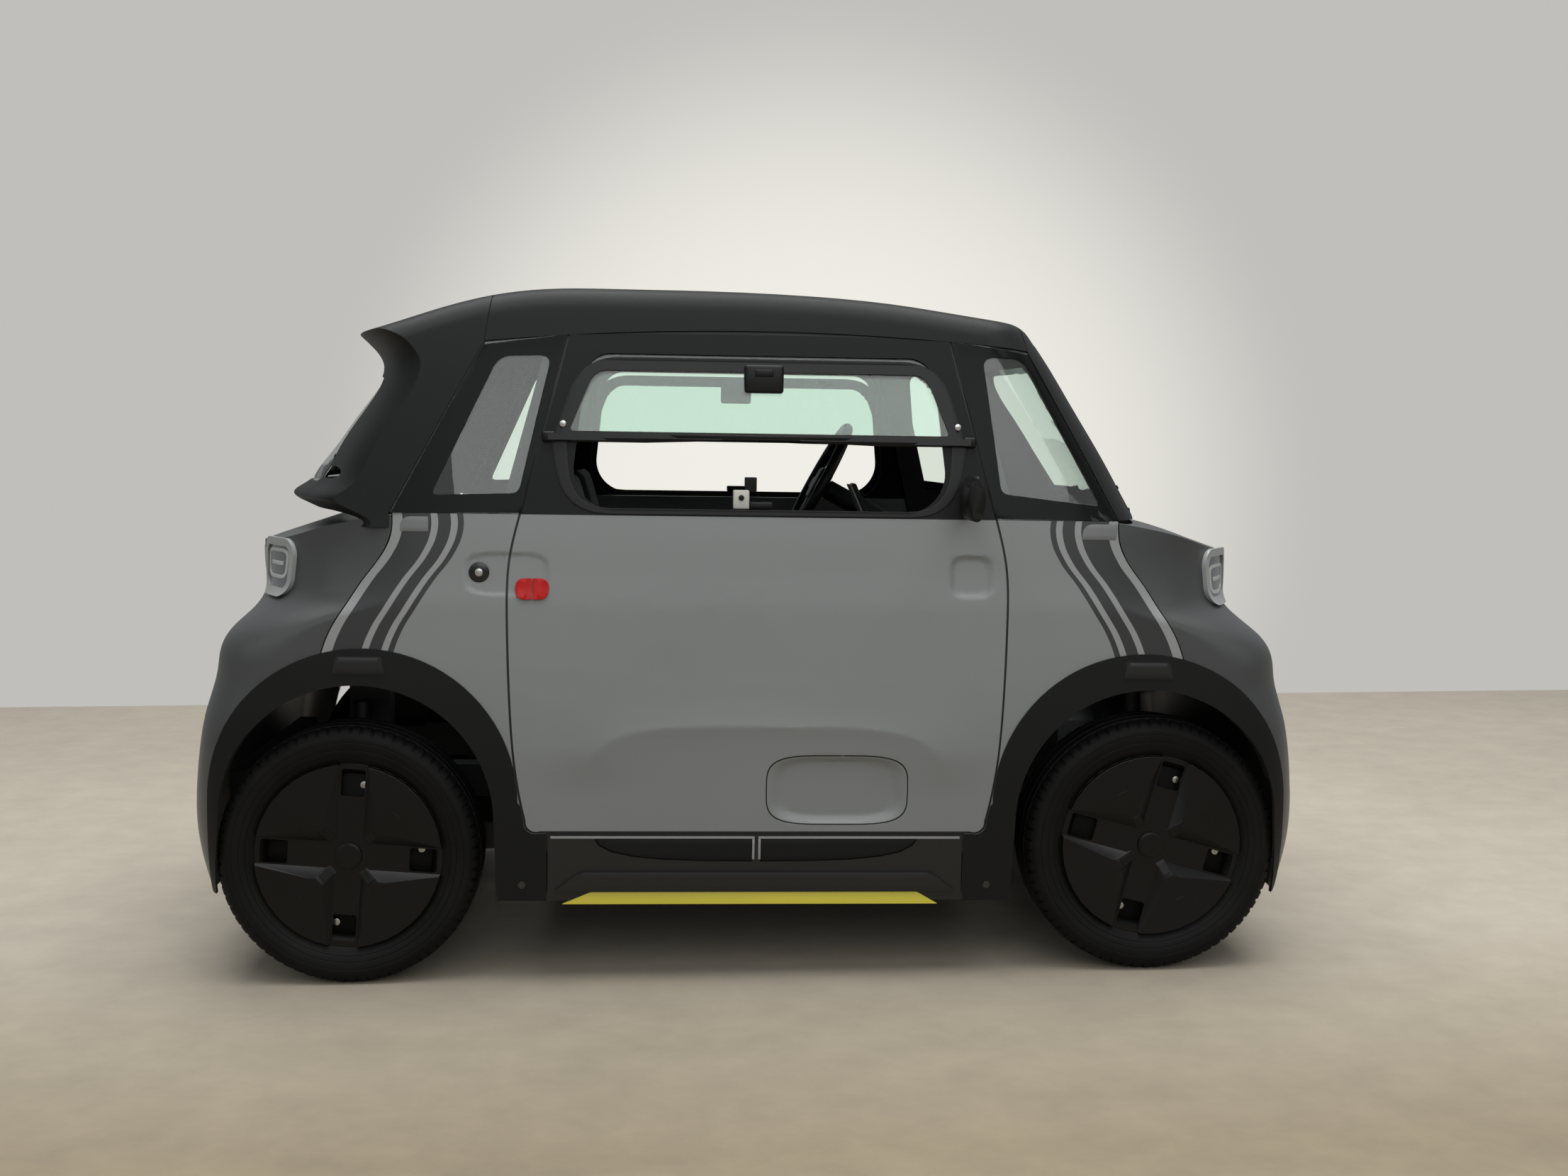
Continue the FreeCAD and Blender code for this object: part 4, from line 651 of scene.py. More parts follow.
class MICROCAR_OT_studio(bpy.types.Operator):
    """Floor, backdrop, lamps and camera at the photograph's view"""
    bl_idname = "microcar.studio"
    bl_label = "Studio"

    def execute(self, context):
        colours = context.scene.microcar_colours
        bpy.ops.object.select_all(action="DESELECT")
        bpy.ops.mesh.primitive_plane_add(size=1.0, rotation=(0.0, 0.0, math.radians(1.2)), location=(0.0, -16.55, 0.0))
        floor = context.object
        floor.scale = (60.0, 40.0, 1.0)
        settled(floor)
        keep(floor, "studio_floor", studio_floor("studio_concrete", colours.floor))
        world = bpy.data.worlds.new("studio_light")
        context.scene.world = world
        world.use_nodes = True
        tree = world.node_tree
        tree.nodes.clear()
        heading = add(world, "TexCoord").outputs["Generated"]
        axes = add(world, "SeparateXYZ", {0: heading})
        # A bright wall behind the photographer, which the side windows mirror in their lower half
        above = add(world, "MapRange", {"Value": axes.outputs["Z"], "From Min": 0.16, "From Max": 0.24})
        below = add(world, "MapRange", {"Value": axes.outputs["Z"], "From Min": 0.75, "From Max": 0.45})
        behind = add(world, "MapRange", {"Value": axes.outputs["Y"], "From Min": -0.1, "From Max": -0.4})
        band = add(world, "Math", {0: above.outputs["Result"], 1: below.outputs["Result"]}, operation="MULTIPLY")
        card = add(world, "Math", {0: band.outputs[0], 1: behind.outputs["Result"]}, operation="MULTIPLY")
        power = add(world, "MapRange", {"Value": card.outputs[0], "To Min": 0.38, "To Max": 1.3})
        soft = add(world, "Background", {"Color": srgb("#DDE0E2"), "Strength": power.outputs["Result"]})
        # Painted light: a round, brighter and warmer pool on the backdrop behind the car, seen straight on and through
        # the glass
        near = add(world, "VectorMath", {0: heading, 1: (0.084, 0.996, -0.033)}, operation="DOT_PRODUCT")
        glow = add(world, "MapRange", {"Value": near.outputs["Value"], "From Min": 0.961, "From Max": 0.9985},
                   interpolation_type="SMOOTHSTEP")
        wall = add(world, "Mix", {0: glow.outputs["Result"], 6: srgb(colours.backdrop), 7: srgb(colours.backdrop_glow)},
                   data_type="RGBA")
        seen = add(world, "Background", {"Color": wall.outputs[2], "Strength": 1.0})
        path = add(world, "LightPath")
        direct = add(world, "Math", {0: path.outputs["Is Camera Ray"], 1: path.outputs["Is Transmission Ray"]},
                     operation="MAXIMUM")
        both = add(world, "MixShader", {0: direct.outputs[0], 1: soft.outputs[0], 2: seen.outputs[0]})
        add(world, "OutputWorld", {"Surface": both.outputs[0]})
        for name, place, turn, size, watts in (
                ("overhead", (0.3, -0.2, 6.5), (0.0, 0.0, 0.0), 8.0, 800.0),
                ("front_soft", (0.5, -5.5, 3.4), (58.0, 0.0, 0.0), 3.5, 70.0)):
            lamp = bpy.data.lights.new(name, "AREA")
            lamp.shape = "SQUARE"
            lamp.size = size
            lamp.energy = watts
            holder = bpy.data.objects.new(name, lamp)
            context.collection.objects.link(holder)
            holder.location = place
            holder.rotation_euler = [math.radians(a) for a in turn]
        camera = bpy.data.objects.new("camera", bpy.data.cameras.new("camera"))
        context.collection.objects.link(camera)
        camera.data.sensor_width = FILM_WIDTH
        camera.data.lens = FILM_WIDTH * FOCAL_PIXELS / PHOTO_WIDTH
        aim = Matrix.Identity(3)
        for degrees, axis in CAMERA_TURNS:
            aim = aim @ Matrix.Rotation(math.radians(degrees), 3, axis)
        right, ahead, up = aim.col
        turned = Matrix((right, up, -ahead)).transposed()
        camera.matrix_world = Matrix.Translation(CAMERA_PLACE) @ turned.to_4x4()
        context.scene.camera = camera
        context.scene.view_settings.view_transform = "Standard"
        return {"FINISHED"}


class MICROCAR_OT_panels(bpy.types.Operator):
    """Fenders, hood and tail faces, roof, pillars and arch trims"""
    bl_idname = "microcar.panels"
    bl_label = "Body panels"

    def execute(self, context):
        colours = context.scene.microcar_colours
        grain = context.scene.microcar_sizes.grain
        charcoal = moulded("satin_abs_charcoal", colours.charcoal, 0.46, grain, 0.04 * MM, specular=0.12)
        hood = moulded("satin_abs_dark_grey", colours.hood_grey, 0.36, grain, 0.05 * MM)
        black = moulded("grained_polypropylene_black", colours.trim_black, 0.55, grain, 0.12 * MM, specular=0.2)
        fender = striped("satin_abs_striped", colours)
        light = moulded("satin_abs_light_cap", "#616363", 0.4, grain, 0.04 * MM)
        pad_black = moulded("smooth_pad_black", "#101111", 0.36, grain, 0.03 * MM, specular=0.4)
        # Gloss black for the lock collars, and for the painted shadow round the arch pads
        ring = moulded("gloss_black_and_painted_shadow", "#0E0F0F", 0.25, grain, 0.02 * MM)
        steel = metal("brushed_lock_steel", "#B9B9B6", 0.3)
        handle_side = merged_copy("corner_panel_rear_right")
        gridded(handle_side, every(-630.0, -512.0, 5.0), every(816.0, 928.0, 5.0))
        formed(handle_side, handle_form)
        keep(handle_side, "corner_panel_rear_right_skin", fender, BODY)
        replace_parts(handle_side, "corner_panel_rear_right")
        turned = copied(handle_side, HALF_TURN, "corner_panel_front_left_skin", BODY)
        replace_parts(turned, "corner_panel_front_left")
        for node in ("corner_panel_front_right", "corner_panel_rear_left"):
            dress(node, fender)
        for node in ("roof_panel", "rear_surround", "front_pillars"):
            dress(node, charcoal)
        for end in ENDS:
            dress("face_panel_" + end, hood)
        dress("arch_trims", black)
        arches = skin("arch_trims")
        sheets = (
            ("arch_pad", "rear", [(-886, 664), (-782, 664), (-788, 696), (-880, 696)], (6, 6, 8, 8), arches,
             5.0, 6.0, 2.2, pad_black),
            # The next plate is a little larger than the pad and lies under it: painted shadow round the pad's edge
            ("arch_pad_painted_shadow", "rear", [(-889, 661), (-779, 661), (-785, 699), (-883, 699)], (6, 6, 9, 9), arches,
             0.8, 2.0, 0.0, ring),
            ("fender_cap", "rear", [(-752, 958), (-694, 958), (-694, 989), (-752, 989)], (3, 3, 3, 22), handle_side,
             0.8, 2.0, 0.5, light),
            ("fender_cap", "front", [(690, 957), (764, 957), (767, 990), (690, 990)], (3, 3, 3, 26),
             skin("corner_panel_front_right"), 0.8, 2.0, 0.5, light))
        for name, end, corners, radii, under, lift, thick, edge, finish_of in sheets:
            piece = laid(filleted(corners, radii), under, lift, thick, edge)
            keep(piece, "%s_%s_right" % (name, end), finish_of, BODY)
            other = "rear" if end == "front" else "front"
            if under == arches:
                copied(piece, ACROSS, "%s_%s_left" % (name, end), BODY)
                copied(piece, END_TO_END, "%s_%s_right" % (name, other), BODY)
            copied(piece, HALF_TURN, "%s_%s_left" % (name, other), BODY)
        collar = disc((-588.0, -665.0, 874.0), 21.5, 10.0, 2.0)
        keep(collar, "door_buttons_skin", ring, BODY)
        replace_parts(collar, "door_buttons")
        barrel = disc((-588.0, -666.0, 874.0), 8.5, 10.0, 1.5)
        keep(barrel, "lock_barrel_right", steel, BODY)
        copied(collar, HALF_TURN, "door_button_left_collar", BODY)
        copied(barrel, HALF_TURN, "lock_barrel_left", BODY)
        return {"FINISHED"}


# The mirror narrows to a leaf from its foot to its tip; its middle is in metres
MIRROR_FOOT, MIRROR_HEIGHT = 998.0, 94.0
MIRROR_X = 0.437


class MICROCAR_OT_doors(bpy.types.Operator):
    """Door skins with their pressed forms, frames, flaps, latches, mirrors and reflectors"""
    bl_idname = "microcar.doors"
    bl_label = "Doors"

    def execute(self, context):
        colours = context.scene.microcar_colours
        grain = context.scene.microcar_sizes.grain
        grey = moulded("satin_abs_grey", colours.panel_grey, 0.42, grain, 0.05 * MM)
        charcoal = moulded("door_frame_charcoal", colours.charcoal, 0.42, grain, 0.05 * MM, specular=0.1)
        black = moulded("flap_frame_black", colours.trim_black, 0.4, grain, 0.06 * MM, specular=0.25)
        # Deep black for the mirrors, window seals, latch grips and clip eyes, and for the painted shadow round the
        # door's pocket
        line = moulded("black_trim_and_painted_shadow", "#080808", 0.45, grain, 0.03 * MM, specular=0.25)
        red = moulded("reflector_acrylic_red", colours.reflector_red, 0.3, 2.2 * MM, 0.12 * MM, 0.2, specular=0.2)
        steel = metal("zinc_plated_screw", "#C6C6C2", 0.28)
        clip = moulded("latch_clip_light", "#B4B2AC", 0.4, grain, 0.04 * MM)
        right = merged_copy("door_right_panel")
        gridded(right, every(-524.0, 506.0, 8.0) + every(-446.0, -436.0, 5.0),
                every(322.0, 690.0, 6.0) + every(820.0, 930.0, 5.0))
        formed(right, door_form)
        keep(right, "door_right_panel_skin", grey, "door_right")
        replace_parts(right, "door_right_panel")
        left = copied(right, HALF_TURN, "door_left_panel_skin", "door_left")
        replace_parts(left, "door_left_panel")
        for side in SIDES:
            dress("door_%s_frame" % side, charcoal)
            dress("door_%s_flap_frame" % side, black)
        mirror = gridded(merged_copy("door_right_mirror"), [], every(1004.0, 1088.0, 7.0))
        for vertex in mirror.data.vertices:
            height = min(1.0, max(0.0, (vertex.co.z / MM - MIRROR_FOOT) / MIRROR_HEIGHT))
            width = 0.3 + 0.7 * math.sin(math.pi * height) ** 0.6
            vertex.co.x = MIRROR_X + (vertex.co.x - MIRROR_X) * width
        mirror.data.transform(RAKED)
        keep(mirror, "door_right_mirror_skin", line, "door_right", 50.0)
        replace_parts(mirror, "door_right_mirror")
        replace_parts(copied(mirror, ACROSS, "door_left_mirror_skin", "door_left"), "door_left_mirror")
        pieces = []
        centre, half = DOOR_POCKET
        # Painted shadow: a thin black ring just inside the outline of the door's pressed pocket
        pocket = framed(squircle(centre, half), squircle(centre, [v - 2.2 for v in half]), right, 0.4, 1.2)
        pieces.append((pocket, "pocket_painted_shadow", line))
        outer = filleted([(-438, 1158), (438, 1158), (384, 1330), (-381, 1330)], (3, 3, 84, 84), 9)
        inner = filleted([(-398, 1166), (398, 1166), (360, 1304), (-358, 1304)], (3, 3, 62, 62), 9)
        pieces.append((framed(outer, inner, skin("door_right_frame"), 3.0, 8.0, 2.0, cuts=4), "flap_rim", black))
        outer = filleted([(-416, 999), (416, 999), (444, 1166), (-444, 1166)], (96, 96, 3, 3))
        inner = filleted([(-398, 1011), (398, 1011), (410, 1158), (-410, 1158)], (84, 84, 3, 3))
        pieces.append((framed(outer, inner, skin("door_right_frame"), 2.0, 9.0, 2.0, cuts=4), "window_seal", line))
        for name, x0, x1, radii in (("reflector_rear", -512.0, -478.5, (20, 2, 2, 20)),
                                    ("reflector_front", -476.5, -443.0, (2, 20, 20, 2))):
            outline = filleted([(x0, 819), (x1, 819), (x1, 863), (x0, 863)], radii)
            pieces.append((laid(outline, right, 5.0, 6.0, 1.0), name, red))
        flap_y = -604.0
        pieces.append((block((-36.0, flap_y - 14.0, 1257.0), (48.0, flap_y + 22.0, 1318.0), 7.0, 4), "flap_latch", black))
        pieces.append((block((-14.0, flap_y - 16.0, 1292.0), (26.0, flap_y - 8.0, 1308.0), 3.0, 3), "flap_latch_grip", line))
        pieces.append((block((-57.0, -640.0, 1012.0), (-23.0, -606.0, 1052.0), 3.0, 3), "window_clip", clip))
        pieces.append((disc((-40.0, -641.0, 1036.0), 6.0, 4.0, 1.0), "window_clip_eye", line))
        pieces.append((block((-23.0, -636.0, 1012.0), (27.0, -606.0, 1027.0), 3.0, 3), "window_clip_bar", black))
        for name, x, z in (("flap_screw_rear", -417.0, 1187.0), ("flap_screw_front", 420.0, 1192.0)):
            pieces.append((disc((x, -634.0, z), 7.0, 6.0, 1.2, 24), name, steel))
        for name, x in (("hinge_end_rear", -446.0), ("hinge_end_front", 446.0)):
            pieces.append((block((x - 14.0, -640.0, 1149.0), (x + 14.0, -606.0, 1171.0), 5.0, 3), name, black))
        for piece, name, finish_of in pieces:
            keep(piece, "door_right_" + name, finish_of, "door_right")
            copied(piece, HALF_TURN, "door_left_" + name, "door_left")
        return {"FINISHED"}


class MICROCAR_OT_glazing(bpy.types.Operator):
    """Window panes with their fired black borders"""
    bl_idname = "microcar.glazing"
    bl_label = "Glazing"

    def execute(self, context):
        colours = context.scene.microcar_colours
        clear = glass("tinted_safety_glass", colours.glass_tint)
        fired = moulded("ceramic_frit_black", "#090A0A", 0.25, 2.0 * MM, 0.005 * MM, 0.1, specular=0.1)
        for node in ("windscreen", "rear_window", "quarter_windows", "door_left_glass", "door_right_glass"):
            dress(node, clear)
        quarters = (
            ("front", [(502, 999), (771, 997), (587, 1352), (411, 1376)],
             [(515, 1052), (733, 1027), (570, 1343), (478, 1343)]),
            ("rear", [(-771, 997), (-502, 999), (-411, 1376), (-587, 1352)],
             [(-690, 1034), (-508, 1040), (-444, 1332), (-554, 1328)]))
        for end, outer, inner in quarters:
            band = framed(filleted(outer, (3, 3, 3, 3)), filleted(inner, (16, 16, 26, 26)),
                          skin("quarter_windows"), 1.0, 6.5, cuts=7)
            keep(band, "quarter_frit_%s_right" % end, fired, BODY)
            copied(band, ACROSS, "quarter_frit_%s_left" % end, BODY)
        # The right halves of the end windows' borders, from the foot up; the left halves mirror them
        ends = (
            ("windscreen", 1.0, [(447, 1002), (450, 1118), (407, 1343), (379, 1393)],
             [(402, 1060), (400, 1122), (366, 1318), (338, 1350)]),
            ("rear_window", -1.0, [(434, 1050), (437, 1104), (422, 1165), (400, 1294)],
             [(404, 1080), (406, 1108), (394, 1165), (372, 1264)]))
        for node, away, outer, inner in ends:
            outer, inner = ([(-half[0][0], half[0][1])] + half + [(-y, z) for y, z in reversed(half[1:])]
                            for half in (outer, inner))
            band = framed(filleted(outer, (3, 3, 9, 9, 3, 3, 9, 9), 3), filleted(inner, (26, 26, 9, 9, 26, 26, 9, 9), 3),
                          skin(node), 1.0, 2.0, axis="X", away=away, cuts=6)
            keep(band, node + "_frit", fired, BODY)
        return {"FINISHED"}


class MICROCAR_OT_lamps(bpy.types.Operator):
    """Headlamps and rear lamps"""
    bl_idname = "microcar.lamps"
    bl_label = "Lamps"

    def execute(self, context):
        colours = context.scene.microcar_colours
        shell = moulded("gloss_polycarbonate_shell", colours.lamp_shell, 0.3, 2.0 * MM, 0.02 * MM)
        lens = moulded("smoked_grey_lens", "#4C4F51", 0.12, 2.0 * MM, 0.01 * MM, coat=0.4)
        guide = moulded("frosted_light_guide", "#A4A7A6", 0.3, 2.0 * MM, 0.02 * MM)
        for end, away in (("front", 1.0), ("rear", -1.0)):
            dress("lamp_bezels_" + end, shell)
            face = dress("lamp_lenses_" + end, lens)
            reach = [vertex.co.y / MM for vertex in face.data.vertices if vertex.co.y > 0.0]
            low, high = min(reach), max(reach)
            centre, half = ((low + high) * 0.5, 870.0), ((high - low) * 0.5 - 10.0, 33.0)
            inner = squircle(centre, [v - 8.0 for v in half], 5.0)
            ring = framed(squircle(centre, half, 5.0), inner, face, 1.5, 4.0, 1.0, "X", away)
            start, end_y = centre[0] - half[0] * 0.62, centre[0] + half[0] * 0.62
            bar = laid([(start, 866.0), (end_y, 866.0), (end_y, 875.0), (start, 875.0)], face, 1.5, 4.0, 1.0, "X", away)
            for piece, name in ((ring, "guide"), (bar, "bar")):
                keep(piece, "lamp_%s_%s_left" % (end, name), guide, BODY)
                copied(piece, ACROSS, "lamp_%s_%s_right" % (end, name), BODY)
        return {"FINISHED"}


# Sections as radius and place across, in millimetres; the tyre's is one half of it, from the bead to the middle
TYRE_PROFILE = [
    (190.8, 50), (190.8, 56), (196, 61), (203, 67), (211, 72), (214, 73.4), (215, 72.6), (217, 74.4), (227, 76.4),
    (228, 75.6), (230, 76.8), (243, 77.3), (244, 76.4), (246, 77.2), (256, 75.4), (263.5, 70.4), (268.6, 64),
    (272.4, 57), (273.6, 49), (272.4, 47), (277.6, 46), (278.2, 24), (272.2, 23), (272.2, 16), (278.4, 15), (278.5, 0)]
RIM_PROFILE = [
    (190, -57), (193, -62), (190.5, -63), (184, -60), (172, -40), (168, 10), (182, 56), (193, 61), (190, 57), (176, 8)]
SHOULDER_RADIUS = 272.0
# Share of the pitch between shoulder blocks that each block fills
LUG_SHARE = 0.72
COVER_FRONT, COVER_BACK = -74.3, -62.5


def tyre_mesh(blocks, groove):
    """Tyre at the origin: spun carcass with grooves, and shoulder blocks copied round it."""
    section = TYRE_PROFILE + [(r, -y) for r, y in reversed(TYRE_PROFILE[:-1])] + [(186.0, -50.0), (186.0, 50.0)]
    pieces = [spun(section, 120)]
    pitch = FULL_TURN * SHOULDER_RADIUS / blocks
    outline = [(52.0, 277.0), (62.0, 273.4), (70.0, 265.6), (74.0, 257.0), (70.0, 256.0), (50.0, 268.0)]
    for side in (-1.0, 1.0):
        lug = loop(outline, -pitch * LUG_SHARE / 2.0, axis="X")
        for vertex in lug.data.vertices:
            vertex.co.y *= side
        extruded(lug, (pitch * LUG_SHARE * MM, 0.0, 0.0))
        edged(lug, groove * 120.0, 1)
        edited(lug, lambda: bpy.ops.mesh.spin(steps=blocks, dupli=True, **ROUND_THE_AXLE),
               lambda: bpy.ops.mesh.remove_doubles(threshold=WELD))
        pieces.append(lug)
    return joined(*pieces)


def quadrant_outlines():
    """Foot and top outlines of one quarter plate of the wheel cover, which meet at the rim and part towards the middle."""
    foot, top = [], []
    for k in range(9):
        turn = math.radians(8.2 + (90.0 - 16.4) * k / 8.0)
        inset = math.radians(0.9) * ((k == 0) - (k == 8))
        foot.append((197.5 * math.cos(turn), 197.5 * math.sin(turn)))
        top.append((196.5 * math.cos(turn + inset), 196.5 * math.sin(turn + inset)))
    foot += [(27.5, 44.0), (22.0, 35.0), (35.0, 22.0), (44.0, 27.5)]
    top += [(52.0, 78.0), (50.0, 66.0), (66.0, 50.0), (78.0, 52.0)]
    return foot, top


def cover_mesh():
    """Wheel cover at the origin: four quarter plates on a back disc with four square holes."""
    foot, top = quadrant_outlines()
    plates = []
    for k in range(4):
        piece = extruded(loop(foot, COVER_BACK), (0.0, (COVER_FRONT - COVER_BACK) * MM, 0.0))
        for vertex, (x, z) in zip(piece.data.vertices[len(foot):], top):
            vertex.co = Vector((x, COVER_FRONT, z)) * MM
        edged(piece, 1.0)
        mark = block((-1.2, COVER_FRONT - 0.6, -11.0), (1.2, COVER_FRONT + 2.0, 11.0), 0.5, 2,
                     at(95.0, 0.0, 95.0) @ about_y(-45.0))
        insert = block((-9.0, -1.8, -13.0), (9.0, 1.8, 13.0), 1.2, 2,
                       at(43.5, -68.6, 43.5) @ about_y(45.0) @ Matrix.Rotation(math.radians(16.0), 4, "X"))
        plates.append(moved(joined(piece, mark, insert), about_y(90.0 * k)))
    # The back disc stays clear of the stub axle's end behind it
    back = disc((0.0, -62.1, 0.0), 197.5, 2.2, 0.8, 96, AS_DRAWN)
    cutter = joined(*[block((-25.0, -90.0, 128.0), (25.0, -40.0, 186.0), 5.0, 3, about_y(90.0 * k)) for k in range(4)])
    modified(back, "BOOLEAN", object=cutter, operation="DIFFERENCE")
    removed(cutter)
    badge = disc((0.0, -65.5, 0.0), 28.0, 6.0, 2.0, 64, AS_DRAWN)
    centre = disc((0.0, -68.0, 0.0), 24.5, 2.4, 1.0, 64, AS_DRAWN)
    return joined(back, badge, centre, *plates)


def rim_mesh():
    """Steel rim at the origin, with the web that carries it."""
    return joined(spun(RIM_PROFILE, 96), disc((0.0, -36.0, 0.0), 174.0, 11.0, 2.0, 64, AS_DRAWN))


def bolts_mesh():
    """Four wheel bolts, and three heads seen through the cover's holes."""
    turns = [math.radians(90.0 * k + 45.0) for k in range(4)]
    bolts = [disc((50.0 * math.cos(turn), -44.0, 50.0 * math.sin(turn)), 9.0, 9.0, 1.5, 6, AS_DRAWN) for turn in turns]
    bolts += [disc((x, -43.0, z), 8.0, 6.0, 1.5, 24, AS_DRAWN) for x, z in ((150.0, 20.0), (20.0, 150.0), (-20.0, -150.0))]
    return joined(*bolts)


class MICROCAR_OT_faces(bpy.types.Operator):
    """Bare plate panels, lower grilles, cowl and wiper of the front and rear faces"""
    bl_idname = "microcar.faces"
    bl_label = "Faces"

    def execute(self, context):
        colours = context.scene.microcar_colours
        grain = context.scene.microcar_sizes.grain
        black = moulded("face_trim_black", colours.trim_black, 0.5, grain, 0.08 * MM, specular=0.4)
        gloss = moulded("face_band_gloss", "#0C0D0D", 0.16, grain, 0.01 * MM, 0.1, coat=0.3)
        for end, away in (("front", 1.0), ("rear", -1.0)):
            face = skin("face_panel_" + end)
            # Half widths and heights at foot and head, then the corner radii there
            trapezoids = (
                ("band", 390, 846, 372, 894, 16, 18, 2.0, 4.0, 1.0, gloss),
                ("plate_panel", 262, 388, 262, 504, 8, 8, 2.5, 5.0, 1.5, black),
                ("grille", 430, 262, 400, 352, 24, 24, 1.2, 3.0, 1.0, black),
                ("slat_low", 380, 284, 376, 294, 4, 4, 5.0, 6.0, 1.5, gloss),
                ("slat_high", 372, 316, 368, 326, 4, 4, 5.0, 6.0, 1.5, gloss))
            for name, foot, low, head, high, foot_r, head_r, lift, thick, edge, finish_of in trapezoids:
                corners = [(-foot, low), (foot, low), (head, high), (-head, high)]
                outline = filleted(corners, (foot_r, foot_r, head_r, head_r))
                keep(laid(outline, face, lift, thick, edge, "X", away, 8), "%s_%s" % (end, name), finish_of, BODY)
        screen = skin("windscreen")
        blade = laid([(-330, 1068), (190, 1052), (190, 1060), (-330, 1076)], screen, 7.0, 6.0, 1.0, "X", 1.0, 3)
        keep(blade, "wiper_blade", black, BODY)
        arm = laid([(-60, 1063), (-50, 1076), (232, 1020), (226, 1008)], screen, 13.0, 6.0, 1.5, "X", 1.0, 3)
        keep(arm, "wiper_arm", black, BODY)
        keep(block((862.0, -236.0, 990.0), (905.0, 236.0, 1012.0), 6.0, 3), "cowl_cover", black, BODY)
        return {"FINISHED"}


class MICROCAR_OT_wheels(bpy.types.Operator):
    """Tyres with tread and dished four-panel wheel covers"""
    bl_idname = "microcar.wheels"
    bl_label = "Wheels"

    def execute(self, context):
        sizes = context.scene.microcar_sizes
        black_rubber = rubber("tyre_rubber", "#070707")
        cover = moulded("wheel_cover_abs", "#090909", 0.32, 1.6 * MM, 0.05 * MM, specular=0.24)
        rim_steel = moulded("painted_rim_black", "#060606", 0.5, 2.0 * MM, 0.05 * MM, specular=0.1)
        silver = metal("machined_steel", "#A9A9A6", 0.35)
        shapes = ((tyre_mesh(sizes.tread_blocks, sizes.groove), "tyre_%s_tread", black_rubber, "tyre_%s", 35.0),
                  (cover_mesh(), "wheel_%s_cover", cover, "wheel_%s", 18.0),
                  (rim_mesh(), "wheel_%s_rim", rim_steel, None, 35.0),
                  (bolts_mesh(), "wheel_%s_bolts", silver, None, 35.0))
        for end, x, turn in (("front", AXLE_X, 15.5), ("rear", -AXLE_X, 4.5)):
            for side, y in (("right", -WHEEL_Y), ("left", WHEEL_Y)):
                corner = "%s_%s" % (end, side)
                place = at(x, y, AXLE_Z) @ about_y(turn)
                if side == "left":
                    place = place @ ACROSS
                for source, name, finish_of, node, degrees in shapes:
                    piece = copied(source, place, name % corner, "wheel_" + corner)
                    keep(piece, name % corner, finish_of, "wheel_" + corner, degrees)
                    if node:
                        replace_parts(piece, node % corner)
        removed(*[row[0] for row in shapes])
        return {"FINISHED"}


class MICROCAR_OT_underbody(bpy.types.Operator):
    """Axles, chassis, floor and body frame"""
    bl_idname = "microcar.underbody"
    bl_label = "Underbody"

    def execute(self, context):
        steel = moulded("coated_steel_black", "#151616", 0.55, 3.0 * MM, 0.1 * MM, 0.15)
        cast = moulded("cast_aluminium_casing", "#7D7F80", 0.5, 2.5 * MM, 0.2 * MM)
        for node in ("body_frame", "chassis", "floor_pan", "front_suspension", "rear_axle", "knuckle_left", "knuckle_right"):
            dress(node, steel)
        for node in ("battery", "motor"):
            dress(node, cast, edge=4.0)
        return {"FINISHED"}


